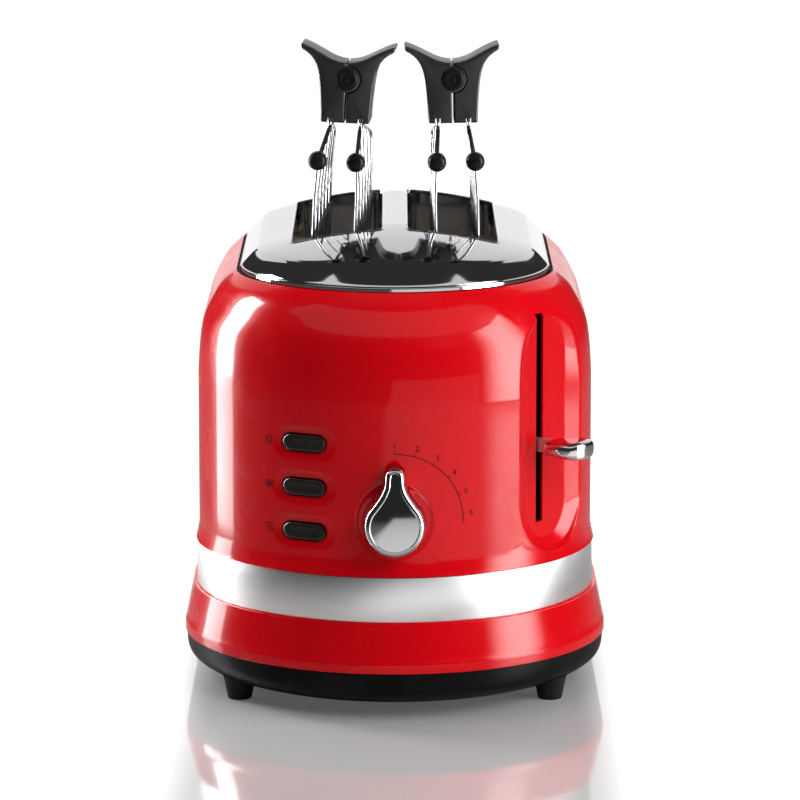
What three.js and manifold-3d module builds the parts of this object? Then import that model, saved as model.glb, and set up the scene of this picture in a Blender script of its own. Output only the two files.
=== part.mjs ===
// A two-slot toaster seen from its narrow control end, with a pair of bread tongs standing in its slots.
// Millimetres, +Z up, the control end faces -Y, and the origin is on the floor under the middle of its box.

import * as THREE from "three";
import { mergeVertices } from "three/addons/utils/BufferGeometryUtils.js";
import Module from "manifold-3d";

const wasm = await Module();
wasm.setup();

// Clearances
const seatGap = 0.3; // between two pieces that touch
const runGap = 0.5; // between a moving piece and what guides it
const cutOver = 2; // how far a cutting tool runs past what it cuts
const tinyLength = 1e-6; // shorter than this is taken as nothing
const mitreLeast = 0.5; // a sharper bend in a wire is mitred no further

// Plan of the body: two straight sides with a half ellipse at each end
const straightHalf = 50; // half the straight part of a side
const endBulge = 5.6; // how much deeper than wide each end is
const endStepsCount = 12; // facets on each end

// Painted upper shell
const waistHalf = 89.4;
const shellWall = 2;
const shoulderZ = 141.7; // where the sides begin to lean in
const openingZ = 188;
const openingGap = 2.2; // between the top plate's rim and the opening
const shoulderShares = [
  [0, 0],
  [0.02, 0.15],
  [0.05, 0.3],
  [0.1, 0.445],
  [0.19, 0.575],
  [0.36, 0.71],
  [0.63, 0.875],
  [1, 1],
]; // share of the lean, share of the rise
const shellLipOut = 1.4; // the lip over the steel band stands this far out of the waist
const shellLipRise = 7;
const ledgeDrop = 6.4; // the seal's ledge lies this far under the opening's edge
const ledgeInset = 5.7;
const ledgeThick = 1.6;

// Steel band
const bandBottomZ = 44.5;
const bandTopZ = 64.8;
const bandThick = 1;
const bandSeatDepth = 0.5; // the wall behind the band lies this far inside the waist
const seamZ = 54.6; // where the shell meets the skirt behind the band

// Painted skirt under the band
const skirtTopHalf = waistHalf + shellLipOut;
const skirtOverhang = 0.8; // how far the skirt's lower edge stands out of the base
const skirtBottomZ = 22.7;
const skirtWall = 2;
const skirtShares = [
  [0, 0],
  [0.1, 0.16],
  [0.4, 0.47],
  [0.78, 0.76],
  [0.98, 0.92],
  [1, 1],
]; // share of the flare, share of the drop

// Black base
const baseSpread = 5.8; // how far the base stands out of the waist on each side
const baseHalf = waistHalf + baseSpread;
const skirtBottomHalf = baseHalf + skirtOverhang;
const baseBottomZ = 7;
const baseDrawIn = 13.2; // how much narrower each side of the base is at its bottom
const baseBottomHalf = baseHalf - baseDrawIn;
const baseWall = 2.4;
const baseShares = [
  [0, 0],
  [0.47, 0.14],
  [0.83, 0.36],
  [0.97, 0.62],
  [1, 1],
]; // share of the spread, share of the rise
const baseRimRise = 6; // the base's rim stands this far up inside the skirt

// Feet
const footSideInset = 12.6; // from the flat of the base's bottom, at its sides
const footEndInset = 37.6; // and at its ends
const footX = baseBottomHalf - footSideInset;
const footY = straightHalf + endBulge + baseBottomHalf - footEndInset;
const footBottomRadius = 5.5;
const footTopRadius = 7.6;
const footHeight = 13; // before its top is cut to the base
const footSidesCount = 14;

// Top plate and its seal
const rimHalf = 70;
const openingHalf = rimHalf + openingGap;
const rimZ = 190; // where the dome starts from the rim
const rimSkirtZ = 184.9; // lower edge of the rim
const rimRound = 0.7;
const crownZ = 209;
const crownHalf = 4; // half-width of the flat crest
const plateThick = 1;
const domeShares = [
  [0.014, 0.08],
  [0.09, 0.36],
  [0.152, 0.485],
  [0.365, 0.68],
  [0.606, 0.845],
  [0.833, 0.95],
  [1, 1],
]; // share of the way in to the crest, share of the rise
const domeDrawShare = 0.6; // how far the dome's underside draws in at the rim, as a share of the plate
const sealFlangeInset = 3; // inside the rim
const sealFlangeHalf = rimHalf - sealFlangeInset;
const sealRise = 0.4; // above the opening
const sealTopZ = openingZ + sealRise;
const sealFlangeThick = 2.4;

// Bread slots in the top plate
const slotCentreX = 26.05;
const slotHalfWidth = 20.25;
const slotHalfLength = 70;
const slotCornerRadius = 3;
const slotCornerStepsCount = 2;
const slotFlangeThick = 1;
const slotFlangeBottomZ = 194.6;

// Inner chassis
const chassisY = 73.5; // inner face of the front and rear plates
const chassisThick = 1;
const chassisHalfWidth = 61;
const chassisBottomZ = 24;
const chassisTopZ = 186;
const chassisFlange = 3.4;
const reflectorX = 58.4; // inner face of the side reflectors
const reflectorThick = 0.8;
const reflectorBottomZ = 40;
const reflectorTopZ = 180;
const reflectorLip = 3;

// Heating boards
const boardThick = 1.2;
const heaterSideX = 53.4;
const heaterBottomZ = 62;
const heaterTopZ = 178;
const ribbonCount = 7;
const ribbonHeight = 3.2;
const ribbonRaise = 0.6;
const ribbonInset = 12;

// Bread guards
const guardWireRadius = 0.9;
const guardGap = 1.3; // the guards stand this far outside the slot's edges
const guardBottomZ = 60;
const guardTopZ = 183;
const guardBarsCount = 5;
const guardBarsReach = 62;
const guardCrossZ = 126;

// Lever recess in the right front corner of the shell
const recessTurnDeg = 36.35; // from the side, round the front end, to the middle of the recess
const recessChordDepth = 3.3; // from the shell in to the chord that spans the recess
const recessFacingDeg = 55.2; // how far the recess looks from straight ahead towards +X
const recessBottomZ = 70;
const recessTopZ = 178.5;
const recessMouthHalf = 24.5;
const recessFloorHalf = 15;
const recessFloorDepth = 3; // under the chord
const recessMouthOut = 4.5; // the sloped sides are carried on past the chord, out of the shell
const recessEndStepsCount = 8;
const leverSlotWidth = 5.5;
const leverSlotOffset = -4.8; // along the chord from the recess's middle
const leverSlotReach = 6.5; // in from the recess's floor, past the leaning top of the shell

// Lever
const leverZ = 117;
const leverTravelDown = 31;
const leverTravelUp = 55;
const armThick = 3.2;
const armHeight = 6;
const armStopGap = 0.8;
const armOuterReach = 12;
const paddleStart = 7.4; // from the recess's floor
const paddleLength = 18.6;
const paddleHalfWidth = 10;
const paddleNeckHeight = 6.4;
const paddleHeight = 8.4;
const paddleShares = [
  [0, 0.86, 0],
  [0.06, 0.96, 0],
  [0.3, 1, 0],
  [0.42, 1, 0.7],
  [0.52, 1, 1],
  [0.72, 0.97, 1],
  [0.87, 0.8, 0.85],
  [0.96, 0.52, 0.45],
  [1, 0.25, -0.2],
]; // share of the length, of the half width, of the swell
const paddleAcrossPower = 0.45; // under 1 gives a squarer section
const paddleUpPower = 0.7;
const armFootWidth = 9;
const armFootHeight = 18;

// Carriage
const carriagePlateY = -79;
const carriageThick = 1.6;
const carriageHalfWidth = 41;
const carriageBottomDrop = 26; // under the lever's height
const carriageTopRise = 10;
const rodX = 20;
const rodY = -86;
const rodRadius = 2.5;
const rodBottomZ = 22;
const rodTopZ = 188;
const bushRadius = 4.6;
const rodTabZ = 30;
const rodTabWidth = 12;
const rodTabThick = 1.6;
const roundSidesCount = 12;

// Bread racks
const rackTopZ = 105.2;
const rackSpineHeight = 9;
const rackSpineThick = 1.4;
const rackFingerHalf = 15.5;
const rackFingerThick = 1.4;
const rackFingerHeight = 3;
const rackFingersCount = 8;
const rackFingersReach = 62;
const rackRearReach = 79;

// Carriage spring
const springX = 0;
const springRadius = 3.6;
const springWireRadius = 0.55;
const springTurnsCount = 9;
const springStepsCount = 7;
const springWireSidesCount = 4;

// Hold-down magnet and its keeper
const magnetHalfWidth = 9;
const magnetDepth = 14;
const magnetHeight = 20;
const magnetPoleInset = 3;
const magnetPoleRise = 4;
const keeperHalfWidth = 11;
const keeperDepth = 12;
const keeperThick = 3;

// Control board and what is on it
const boardSetback = 33; // from the front of the shell
const boardLeftX = -56;
const boardRightX = 17;
const boardBottomZ = 62;
const boardTopZ = 140;
const boardPlateThick = 1.6;
const boardPostRadius = 3;
const boardPostInset = 8;

// Push buttons
const buttonX = -39.8;
const buttonTopZ = 122.8;
const buttonPitch = 19.7;
const buttonCount = 3;
const buttonHalfWidth = 9.4;
const buttonHalfHeight = 3.7;
const buttonProud = 1;
const buttonTravel = 2;
const buttonFlange = 1.8;
const buttonFlangeThick = 1.4;
const buttonStemHalf = 2;
const buttonDishHalfWidth = 13.6;
const buttonDishHalfHeight = 7;
const buttonDishDepth = 0.9;
const pillStepsCount = 4;
const switchHalf = 3;
const switchDepth = 3.6;
const switchPlungerRadius = 1.6;
const switchPlungerRise = 1.4;

// Browning control
const knobZ = 89.8;
const knobRadius = 13.8;
const knobTipReach = 21.8; // from the knob's middle to the middle of its tip
const knobTipRadius = 4.2;
const knobNeckShares = [
  [0.42, 0.74],
  [0.55, 0.59],
  [0.68, 0.45],
  [0.83, 0.345],
]; // share of the tip's reach, share of the bulb's radius
const knobBulbShare = 0.66; // of half a turn, from the knob's lowest point round to where it draws in
const knobBulbStepsCount = 8;
const knobTipStepsCount = 3;
const knobDepth = 15;
const knobDepthShares = [
  [0, 0.3],
  [0.08, 0.06],
  [0.2, 0],
  [0.66, 0.12],
  [0.86, 0.38],
  [0.96, 0.68],
  [1, 0.9],
]; // share of the depth, inset as a share of the tip's radius
const knobGap = 0.8;
const knobDishRadius = 16.8;
const shaftRadius = 3;
const shaftSocketDepth = 8;
const dialHalf = 8.5;
const dialDepth = 9;

// Crumb tray
const traySideInset = 30; // from the flat of the base's bottom
const trayHalf = baseBottomHalf - traySideInset;
const trayWall = 1.2;
const trayHeight = 9.2;
const trayFrontY = -88;
const trayFasciaThick = 6;
const trayGripHalf = 20;
const trayGripHeight = 3.4;
const trayGripDepth = 12;

// Cord inlet and terminal block
const inletInset = 27.2; // from the base's left side, at its rear left corner
const inletX = inletInset - baseHalf;
const inletZ = 17.4;
const inletHalfShare = 0.996; // of the base, at the height of the inlet
const inletInnerGap = 5; // behind the wall, which draws in under the inlet
const inletBoreRadius = 3;
const inletNeckRadius = 3.9;
const inletFlangeRadius = 4.9;
const inletFlangeThick = 1.4;
const inletNose = 3.5;
const terminalShift = 2; // from the inlet, towards the middle
const terminalX = inletX + terminalShift;
const terminalY = 50;
const terminalWidth = 15;
const terminalLength = 22;
const terminalHeight = 12;
const terminalHoleRadius = 1.6;
const terminalWaysCount = 3;

// Bread tongs
const tongPivotZ = 269.6;
const tongLeftShift = 4.55; // from the middle of its slot towards the right
const tongRightShift = 0.35;
const tongPlaces = [
  { side: "left", x: tongLeftShift - slotCentreX, leanDeg: 2.5, yawDeg: -2.9 },
  { side: "right", x: tongRightShift + slotCentreX, leanDeg: -1, yawDeg: 0.5 },
];
const handleHalfDepth = 12;
const handleDrop = 21.6; // from the pivot to the handle's lower edge
const handleFootHalf = 11.35;
const handleWingHalf = 22.6;
const handleWingRise = 17.2;
const handleSideShares = [
  [0.53, -0.465],
  [0.585, 0.116],
  [0.69, 0.465],
  [0.85, 0.66],
  [1, 0.76],
  [0.97, 1],
  [0.73, 0.94],
  [0.44, 0.7],
  [0.22, 0.5],
]; // share of the wing's reach, share of its rise
const handleValleyRise = 7.4;
const handleSplitGap = 0.8;
const knuckleRadius = 6.3;
const pinRadius = 1.8;
const pinHeadRadius = 5.1;
const pinHeadThick = 1.2;
const wirePocketDepth = 6;
const wirePocketWidth = 3.2;
const cageWireRadius = 1.1;
const cageBarRadius = 0.9;
const cageWireSidesCount = 5;
const barSidesCount = 4; // thin bars inside a wire frame
const cageTopHalfGap = 7; // where the wires leave the handle
const cageShoulderHalfGap = 8.6;
const cageHalfGap = 9.5;
const cageRootY = 9;
const cageHalfLength = 58;
const cageShoulderDrop = 31.6; // from the pivot down to the cage's shoulder
const cageBendDrop = 49.6;
const cageBottomDrop = 162.4;
const cageCornerRadius = 5;
const cageBarShares = [0.05, 0.37, 0.69];
const cageUprightShares = [-0.6, -0.2, 0.2, 0.6];
const capRadius = 4.2;
const capLength = 9;
const capStub = 6;
const capShares = [
  [0, 0],
  [0.82, 0],
  [1, 0.08],
  [1, 0.67],
  [0.86, 0.87],
  [0.5, 0.975],
  [0, 1],
]; // share of the radius, share of the length
const capSidesCount = 10;

// Colours
const paintRed = { color: 0xd80f12, roughness: 0.18, metalness: 0 };
const chromeBright = { color: 0xd8dadd, roughness: 0.06, metalness: 1 };
const steelBrushed = { color: 0xb9bbbd, roughness: 0.32, metalness: 1 };
const steelPlain = { color: 0xa5a8aa, roughness: 0.4, metalness: 1 };
const plasticBlack = { color: 0x17181a, roughness: 0.5, metalness: 0 };
const plasticGrey = { color: 0x3a3c3e, roughness: 0.45, metalness: 0 };
const rubberBlack = { color: 0x101112, roughness: 0.8, metalness: 0 };
const micaTan = { color: 0xb9a78a, roughness: 0.7, metalness: 0 };
const boardGreen = { color: 0x1f5a34, roughness: 0.5, metalness: 0 };

// Solids

function facesOut(geometry) {
  const p = geometry.getAttribute("position");
  const index = geometry.index.array;
  const a = new THREE.Vector3();
  const b = new THREE.Vector3();
  const c = new THREE.Vector3();
  let volume = 0;
  for (let i = 0; i < index.length; i += 3) {
    a.fromBufferAttribute(p, index[i]);
    b.fromBufferAttribute(p, index[i + 1]);
    c.fromBufferAttribute(p, index[i + 2]);
    volume += a.dot(b.cross(c));
  }
  if (volume < 0) {
    for (let i = 0; i < index.length; i += 3) {
      [index[i + 1], index[i + 2]] = [index[i + 2], index[i + 1]];
    }
  }
  return geometry;
}

function solid(geometry) {
  const bare = new THREE.BufferGeometry().setAttribute("position", geometry.getAttribute("position"));
  bare.setIndex(geometry.index);
  const merged = facesOut(mergeVertices(bare));
  return new wasm.Manifold(
    new wasm.Mesh({
      numProp: 3,
      vertProperties: new Float32Array(merged.getAttribute("position").array),
      triVerts: new Uint32Array(merged.index.array),
    }),
  );
}

function geometryOf(made) {
  const mesh = made.getMesh();
  const geometry = new THREE.BufferGeometry();
  geometry.setAttribute("position", new THREE.BufferAttribute(new Float32Array(mesh.vertProperties), 3));
  geometry.setIndex(new THREE.BufferAttribute(new Uint32Array(mesh.triVerts), 1));
  geometry.computeVertexNormals();
  return geometry;
}

function union(solids) {
  return solids.reduce((sum, next) => sum.add(next));
}

// Loops of points, one after another, joined by a skin. A closed loft joins its last loop to its first, and
// an open one is capped by fans from the middle of its end loops.
function loft(loops, closed = false) {
  const count = loops[0].length;
  const points = loops.flat();
  const triangles = [];
  const spans = closed ? loops.length : loops.length - 1;
  for (let k = 0; k < spans; k++) {
    const low = k * count;
    const high = ((k + 1) % loops.length) * count;
    for (let i = 0; i < count; i++) {
      const j = (i + 1) % count;
      triangles.push(low + i, low + j, high + j, low + i, high + j, high + i);
    }
  }
  if (!closed) {
    for (const [start, flip] of [[0, true], [(loops.length - 1) * count, false]]) {
      const middle = new THREE.Vector3();
      for (let i = 0; i < count; i++) middle.addScaledVector(points[start + i], 1 / count);
      points.push(middle);
      const hub = points.length - 1;
      for (let i = 0; i < count; i++) {
        const j = (i + 1) % count;
        if (flip) triangles.push(hub, start + j, start + i);
        else triangles.push(hub, start + i, start + j);
      }
    }
  }
  const geometry = new THREE.BufferGeometry().setFromPoints(points);
  geometry.setIndex(triangles);
  return solid(geometry);
}

function box(lowX, highX, lowY, highY, lowZ, highZ) {
  const geometry = new THREE.BoxGeometry(highX - lowX, highY - lowY, highZ - lowZ);
  geometry.translate((lowX + highX) / 2, (lowY + highY) / 2, (lowZ + highZ) / 2);
  return solid(geometry);
}

// A round bar from one point to another, whose radius may change on the way
function bar(from, to, radius, sides = roundSidesCount, endRadius = radius) {
  const along = new THREE.Vector3().subVectors(to, from);
  const geometry = new THREE.CylinderGeometry(endRadius, radius, along.length(), sides);
  const up = new THREE.Vector3(0, 1, 0);
  const turn = new THREE.Quaternion().setFromUnitVectors(up, along.clone().normalize());
  geometry.applyQuaternion(turn);
  geometry.translate((from.x + to.x) / 2, (from.y + to.y) / 2, (from.z + to.z) / 2);
  return solid(geometry);
}

// A wire along a bent line: its section turns with the line and is mitred at each bend
function wire(points, radius, sides) {
  const loops = points.map((point, k) => {
    const before = points[Math.max(k - 1, 0)];
    const after = points[Math.min(k + 1, points.length - 1)];
    const into = new THREE.Vector3().subVectors(k ? point : after, before).normalize();
    const out = new THREE.Vector3().subVectors(after, point === after ? before : point).normalize();
    const along = new THREE.Vector3().addVectors(into, out).normalize();
    const stretch = 1 / Math.max(along.dot(into), mitreLeast);
    const side = new THREE.Vector3(1, 0, 0).addScaledVector(along, -along.x).normalize();
    const over = new THREE.Vector3().crossVectors(along, side);
    return Array.from({ length: sides }, (_, i) => {
      const t = ((i + 0.5) / sides) * 2 * Math.PI;
      return point
        .clone()
        .addScaledVector(side, radius * Math.cos(t))
        .addScaledVector(over, radius * stretch * Math.sin(t));
    });
  });
  return loft(loops);
}

// A shape turned about the local Z axis; the profile is a list of [radius, z]
function turned(profile, sides = roundSidesCount) {
  const geometry = new THREE.LatheGeometry(profile.map(([r, z]) => new THREE.Vector2(r, z)), sides);
  geometry.rotateX(Math.PI / 2);
  return solid(geometry);
}

// A pill with round ends, long along x, pressed out along y
function pill(x, z, halfWidth, halfHeight, lowY, highY) {
  const straight = halfWidth - halfHeight;
  const loopAt = (y) => {
    const points = [];
    for (const end of [1, -1]) {
      for (let i = 0; i <= pillStepsCount; i++) {
        const t = ((i / pillStepsCount) - 0.5) * Math.PI;
        const across = x + end * (straight + halfHeight * Math.cos(t));
        points.push(new THREE.Vector3(across, y, z + end * halfHeight * Math.sin(t)));
      }
    }
    return points;
  };
  return loft([loopAt(lowY), loopAt(highY)]);
}

// One level line of the body: straight sides with a half ellipse at each end
function planLoop(half, z) {
  const points = [];
  for (const end of [1, -1]) {
    for (let i = 0; i <= endStepsCount; i++) {
      const t = (i / endStepsCount) * Math.PI;
      const y = straightHalf + (half + endBulge) * Math.sin(t);
      points.push(new THREE.Vector3(end * half * Math.cos(t), end * y, z));
    }
  }
  return points;
}

function planLoft(profile, closed = false) {
  return loft(profile.map(([half, z]) => planLoop(half, z)), closed);
}

// How far the end of a level line reaches along Y at a place across it
function endReach(x, half) {
  return straightHalf + (half + endBulge) * Math.sqrt(1 - (x / half) ** 2);
}

// Profiles, as [half-width, z]

function shoulderProfile(inset) {
  const top = openingZ - Math.max(inset, 0);
  return shoulderShares.map(([lean, rise]) => [
    waistHalf - lean * (waistHalf - openingHalf) - inset,
    shoulderZ + rise * (top - shoulderZ),
  ]);
}

function skirtProfile(inset) {
  return skirtShares.map(([flare, drop]) => [
    skirtTopHalf + flare * (skirtBottomHalf - skirtTopHalf) - inset,
    bandBottomZ - seatGap - drop * (bandBottomZ - seatGap - skirtBottomZ),
  ]);
}

function baseProfile(inset) {
  return baseShares.map(([spread, rise]) => [
    baseBottomHalf + spread * (baseHalf - baseBottomHalf) - inset,
    baseBottomZ + inset + rise * (skirtBottomZ - seatGap - baseBottomZ - inset),
  ]);
}

function domeProfile(sink) {
  const reach = rimHalf - rimRound - crownHalf;
  return domeShares.map(([inward, rise]) => [
    rimHalf - rimRound - inward * reach - sink * (1 - inward) * domeDrawShare,
    rimZ + rise * (crownZ - rimZ) - sink,
  ]);
}

// The half-width of a falling profile at a height
function halfAt(profile, z) {
  const k = Math.max(1, profile.findIndex((point) => point[1] <= z));
  const [[upperHalf, upperZ], [lowerHalf, lowerZ]] = [profile[k - 1], profile[k]];
  return upperHalf + ((upperZ - z) / (upperZ - lowerZ)) * (lowerHalf - upperHalf);
}

// The waist carried up and down, moved out or in: what follows the front is cut by this
function waistFill(out, lowZ = bandTopZ, highZ = shoulderZ) {
  return planLoft([[waistHalf + out, lowZ], [waistHalf + out, highZ]]);
}

// Casing

// The recess's own frame: x along its chord, y out of the shell, z up
function recessPlace() {
  const turn = THREE.MathUtils.degToRad(recessFacingDeg);
  const along = new THREE.Vector3(Math.cos(turn), Math.sin(turn), 0);
  const out = new THREE.Vector3(Math.sin(turn), -Math.cos(turn), 0);
  const round = THREE.MathUtils.degToRad(recessTurnDeg);
  const middleX = waistHalf * Math.cos(round);
  const middleY = -straightHalf - (waistHalf + endBulge) * Math.sin(round);
  const at = (x, y, z) =>
    new THREE.Vector3(middleX, middleY, z).addScaledVector(along, x).addScaledVector(out, y - recessChordDepth);
  return { at, turn };
}

function recessLoop(half, y, rise) {
  const { at } = recessPlace();
  const lowZ = recessBottomZ + rise + half;
  const highZ = recessTopZ - rise - half;
  const points = [];
  for (const end of [1, -1]) {
    const z = end > 0 ? highZ : lowZ;
    for (let i = 0; i <= recessEndStepsCount; i++) {
      const t = (i / recessEndStepsCount) * Math.PI;
      points.push(at(end * half * Math.cos(t), y, z + end * half * Math.sin(t)));
    }
  }
  return points;
}

// The hollow of the recess, or with a wall the solid that holds it
function recessFill(wall) {
  const mouthHalf = recessMouthHalf + wall;
  const floorHalf = recessFloorHalf + wall;
  const floorRise = (recessMouthHalf - recessFloorHalf) / 2;
  return loft([
    recessLoop(floorHalf, -recessFloorDepth - wall, floorRise - wall),
    recessLoop(mouthHalf, 0, -wall),
    recessLoop(mouthHalf + recessMouthOut, recessMouthOut, -wall),
  ]);
}

function leverSlotFill() {
  const { at } = recessPlace();
  const low = leverZ - leverTravelDown - armHeight / 2 - armStopGap;
  const high = leverZ + leverTravelUp + armHeight / 2 + armStopGap;
  const deep = -recessFloorDepth - leverSlotReach;
  const loopAt = (y) =>
    [[-1, low], [1, low], [1, high], [-1, high]].map(([side, z]) =>
      at(leverSlotOffset + (side * leverSlotWidth) / 2, y, z),
    );
  return loft([loopAt(deep), loopAt(recessMouthOut)]);
}

function shellOuter() {
  const lipZ = bandTopZ + seatGap;
  return [
    [waistHalf + shellLipOut, lipZ],
    [waistHalf + shellLipOut / 2, lipZ + shellLipRise / 2],
    [waistHalf, lipZ + shellLipRise],
    ...shoulderProfile(0),
  ];
}

function buttonHeights() {
  return Array.from({ length: buttonCount }, (_, i) => buttonTopZ - i * buttonPitch);
}

function dishes() {
  const skin = waistFill(cutOver).subtract(waistFill(-buttonDishDepth));
  const front = -endReach(0, waistHalf) - cutOver;
  const back = -straightHalf;
  const pills = buttonHeights().map((z) =>
    pill(buttonX, z, buttonDishHalfWidth, buttonDishHalfHeight, front, back),
  );
  const round = bar(
    new THREE.Vector3(0, front, knobZ),
    new THREE.Vector3(0, back, knobZ),
    knobDishRadius,
    2 * roundSidesCount,
  );
  return union([...pills, round]).intersect(skin);
}

function frontHoles() {
  const front = -endReach(0, waistHalf) - cutOver;
  const back = -straightHalf;
  const holes = buttonHeights().map((z) =>
    pill(buttonX, z, buttonHalfWidth + runGap, buttonHalfHeight + runGap, front, back),
  );
  holes.push(
    bar(new THREE.Vector3(0, front, knobZ), new THREE.Vector3(0, back, knobZ), shaftRadius + runGap),
  );
  return union(holes);
}

function bodyShell() {
  const seatHalf = waistHalf - bandSeatDepth;
  const innerHalf = waistHalf - shellWall;
  const ledgeZ = openingZ - ledgeDrop;
  const lipZ = bandTopZ + seatGap;
  const inner = shoulderProfile(shellWall).filter(([, z]) => z < ledgeZ - ledgeThick - shellWall);
  const wall = planLoft(
    [
      [seatHalf, seamZ + seatGap],
      [seatHalf, lipZ],
      ...shellOuter(),
      [openingHalf, ledgeZ],
      [openingHalf - ledgeInset, ledgeZ],
      [openingHalf - ledgeInset, ledgeZ - ledgeThick],
      [openingHalf + shellWall, ledgeZ - ledgeThick],
      ...inner.reverse(),
      [innerHalf, seamZ + seatGap],
    ],
    true,
  );
  const filled = planLoft([[seatHalf, lipZ - shellLipRise], ...shellOuter()]);
  const pocket = recessFill(shellWall).intersect(filled);
  const cuts = union([recessFill(0), leverSlotFill(), dishes(), frontHoles()]);
  return wall.add(pocket).subtract(cuts);
}

function lowerSkirt() {
  const seatHalf = waistHalf - bandSeatDepth;
  const outer = skirtProfile(0);
  const inner = skirtProfile(skirtWall);
  return planLoft(
    [
      [seatHalf, seamZ],
      [seatHalf, bandBottomZ - seatGap],
      ...outer,
      ...inner.reverse(),
      [seatHalf - skirtWall, bandBottomZ - seatGap],
      [seatHalf - skirtWall, seamZ],
    ],
    true,
  );
}

function steelBand() {
  const inner = waistHalf - bandSeatDepth + seatGap;
  return planLoft(
    [
      [inner, bandBottomZ],
      [inner + bandThick, bandBottomZ],
      [inner + bandThick, bandTopZ],
      [inner, bandTopZ],
    ],
    true,
  );
}

function slotLoop(side, grow, z) {
  const radius = slotCornerRadius + grow;
  const halfX = slotHalfWidth + grow - radius;
  const halfY = slotHalfLength + grow - radius;
  const points = [];
  for (const [sx, sy, start] of [[1, 1, 0], [-1, 1, 1], [-1, -1, 2], [1, -1, 3]]) {
    for (let i = 0; i <= slotCornerStepsCount; i++) {
      const t = ((start + i / slotCornerStepsCount) * Math.PI) / 2;
      const x = side * slotCentreX + sx * halfX + radius * Math.cos(t);
      points.push(new THREE.Vector3(x, sy * halfY + radius * Math.sin(t), z));
    }
  }
  return points;
}

function slotFill(side, grow, lowZ) {
  return loft([slotLoop(side, grow, lowZ), slotLoop(side, grow, crownZ + cutOver)]);
}

function topPlate() {
  const dome = domeProfile(0);
  const under = domeProfile(plateThick).reverse();
  const rimInner = rimHalf - plateThick;
  const sheet = planLoft([
    ...under,
    [rimInner, rimZ - plateThick],
    [rimInner, rimSkirtZ],
    [rimHalf, rimSkirtZ],
    [rimHalf, rimZ - rimRound],
    [rimHalf - rimRound, rimZ],
    ...dome,
  ]);
  const rimTopHalf = rimHalf - rimRound;
  const below = planLoft([[rimTopHalf, slotFlangeBottomZ - cutOver], [rimTopHalf, rimZ], ...dome]);
  let plate = sheet;
  for (const side of [-1, 1]) {
    const collar = slotFill(side, slotFlangeThick, slotFlangeBottomZ).intersect(below);
    plate = plate.add(collar);
  }
  for (const side of [-1, 1]) plate = plate.subtract(slotFill(side, 0, slotFlangeBottomZ - cutOver));
  return plate;
}

function topSeal() {
  const bottomZ = openingZ - ledgeDrop + seatGap;
  const outer = openingHalf - seatGap;
  const inner = rimHalf + seatGap;
  return planLoft(
    [
      [sealFlangeHalf, bottomZ],
      [outer, bottomZ],
      [outer, sealTopZ],
      [inner, sealTopZ],
      [inner, bottomZ + sealFlangeThick],
      [sealFlangeHalf, bottomZ + sealFlangeThick],
    ],
    true,
  );
}

// Base

function baseOuter() {
  const rimHalfWidth = baseRimHalf();
  const topZ = skirtBottomZ - seatGap;
  return [...baseProfile(0), [rimHalfWidth, topZ], [rimHalfWidth, topZ + baseRimRise]];
}

function baseRimHalf() {
  return halfAt(skirtProfile(skirtWall), skirtBottomZ - seatGap + baseRimRise) - runGap;
}

function inletPlace() {
  const half = baseHalf * inletHalfShare;
  const reach = endReach(inletX, half);
  const slope = Math.atan2(inletX / half ** 2, (reach - straightHalf) / (half + endBulge) ** 2);
  return { y: reach, turn: slope };
}

function inletHole(radius) {
  const { y, turn } = inletPlace();
  const out = new THREE.Vector3(Math.sin(turn), Math.cos(turn), 0);
  const middle = new THREE.Vector3(inletX, y, inletZ);
  return bar(
    middle.clone().addScaledVector(out, -baseWall - inletFlangeThick - cutOver),
    middle.clone().addScaledVector(out, inletNose + cutOver),
    radius,
  );
}

function baseTray() {
  const floorZ = baseBottomZ + baseWall;
  const rim = baseRimHalf();
  const topZ = skirtBottomZ - seatGap;
  const tub = planLoft([
    ...baseOuter(),
    [rim - baseWall, topZ + baseRimRise],
    [rim - baseWall, topZ],
    ...baseProfile(baseWall).slice(0, -1).reverse(),
  ]);
  const mouth = box(
    -trayHalf - runGap,
    trayHalf + runGap,
    straightHalf,
    endReach(0, baseHalf) + cutOver,
    floorZ,
    floorZ + seatGap + trayHeight + runGap,
  );
  return tub.subtract(mouth).subtract(inletHole(inletNeckRadius + seatGap));
}

function foot(sideX, sideY) {
  const x = sideX * footX;
  const y = sideY * footY;
  const stub = bar(
    new THREE.Vector3(x, y, 0),
    new THREE.Vector3(x, y, footHeight),
    footBottomRadius,
    footSidesCount,
    footTopRadius,
  );
  return stub.subtract(planLoft([...baseProfile(-seatGap), [baseHalf, skirtBottomZ + cutOver]]));
}

function crumbTray() {
  const floorZ = baseBottomZ + baseWall + seatGap;
  const topZ = floorZ + trayHeight;
  const rear = endReach(0, baseHalf);
  const innerY = endReach(trayHalf, baseHalf) - baseWall - trayFasciaThick;
  const outer = box(-trayHalf, trayHalf, trayFrontY, rear, floorZ, topZ).intersect(
    planLoft([...baseProfile(0), [baseHalf, skirtBottomZ + cutOver]]),
  );
  const hollow = box(
    -trayHalf + trayWall,
    trayHalf - trayWall,
    trayFrontY + trayWall,
    innerY,
    floorZ + trayWall,
    topZ + cutOver,
  );
  const grip = box(
    -trayGripHalf,
    trayGripHalf,
    rear - trayGripDepth,
    rear + cutOver,
    floorZ - cutOver,
    floorZ + trayGripHeight,
  );
  return outer.subtract(hollow).subtract(grip);
}

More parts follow.
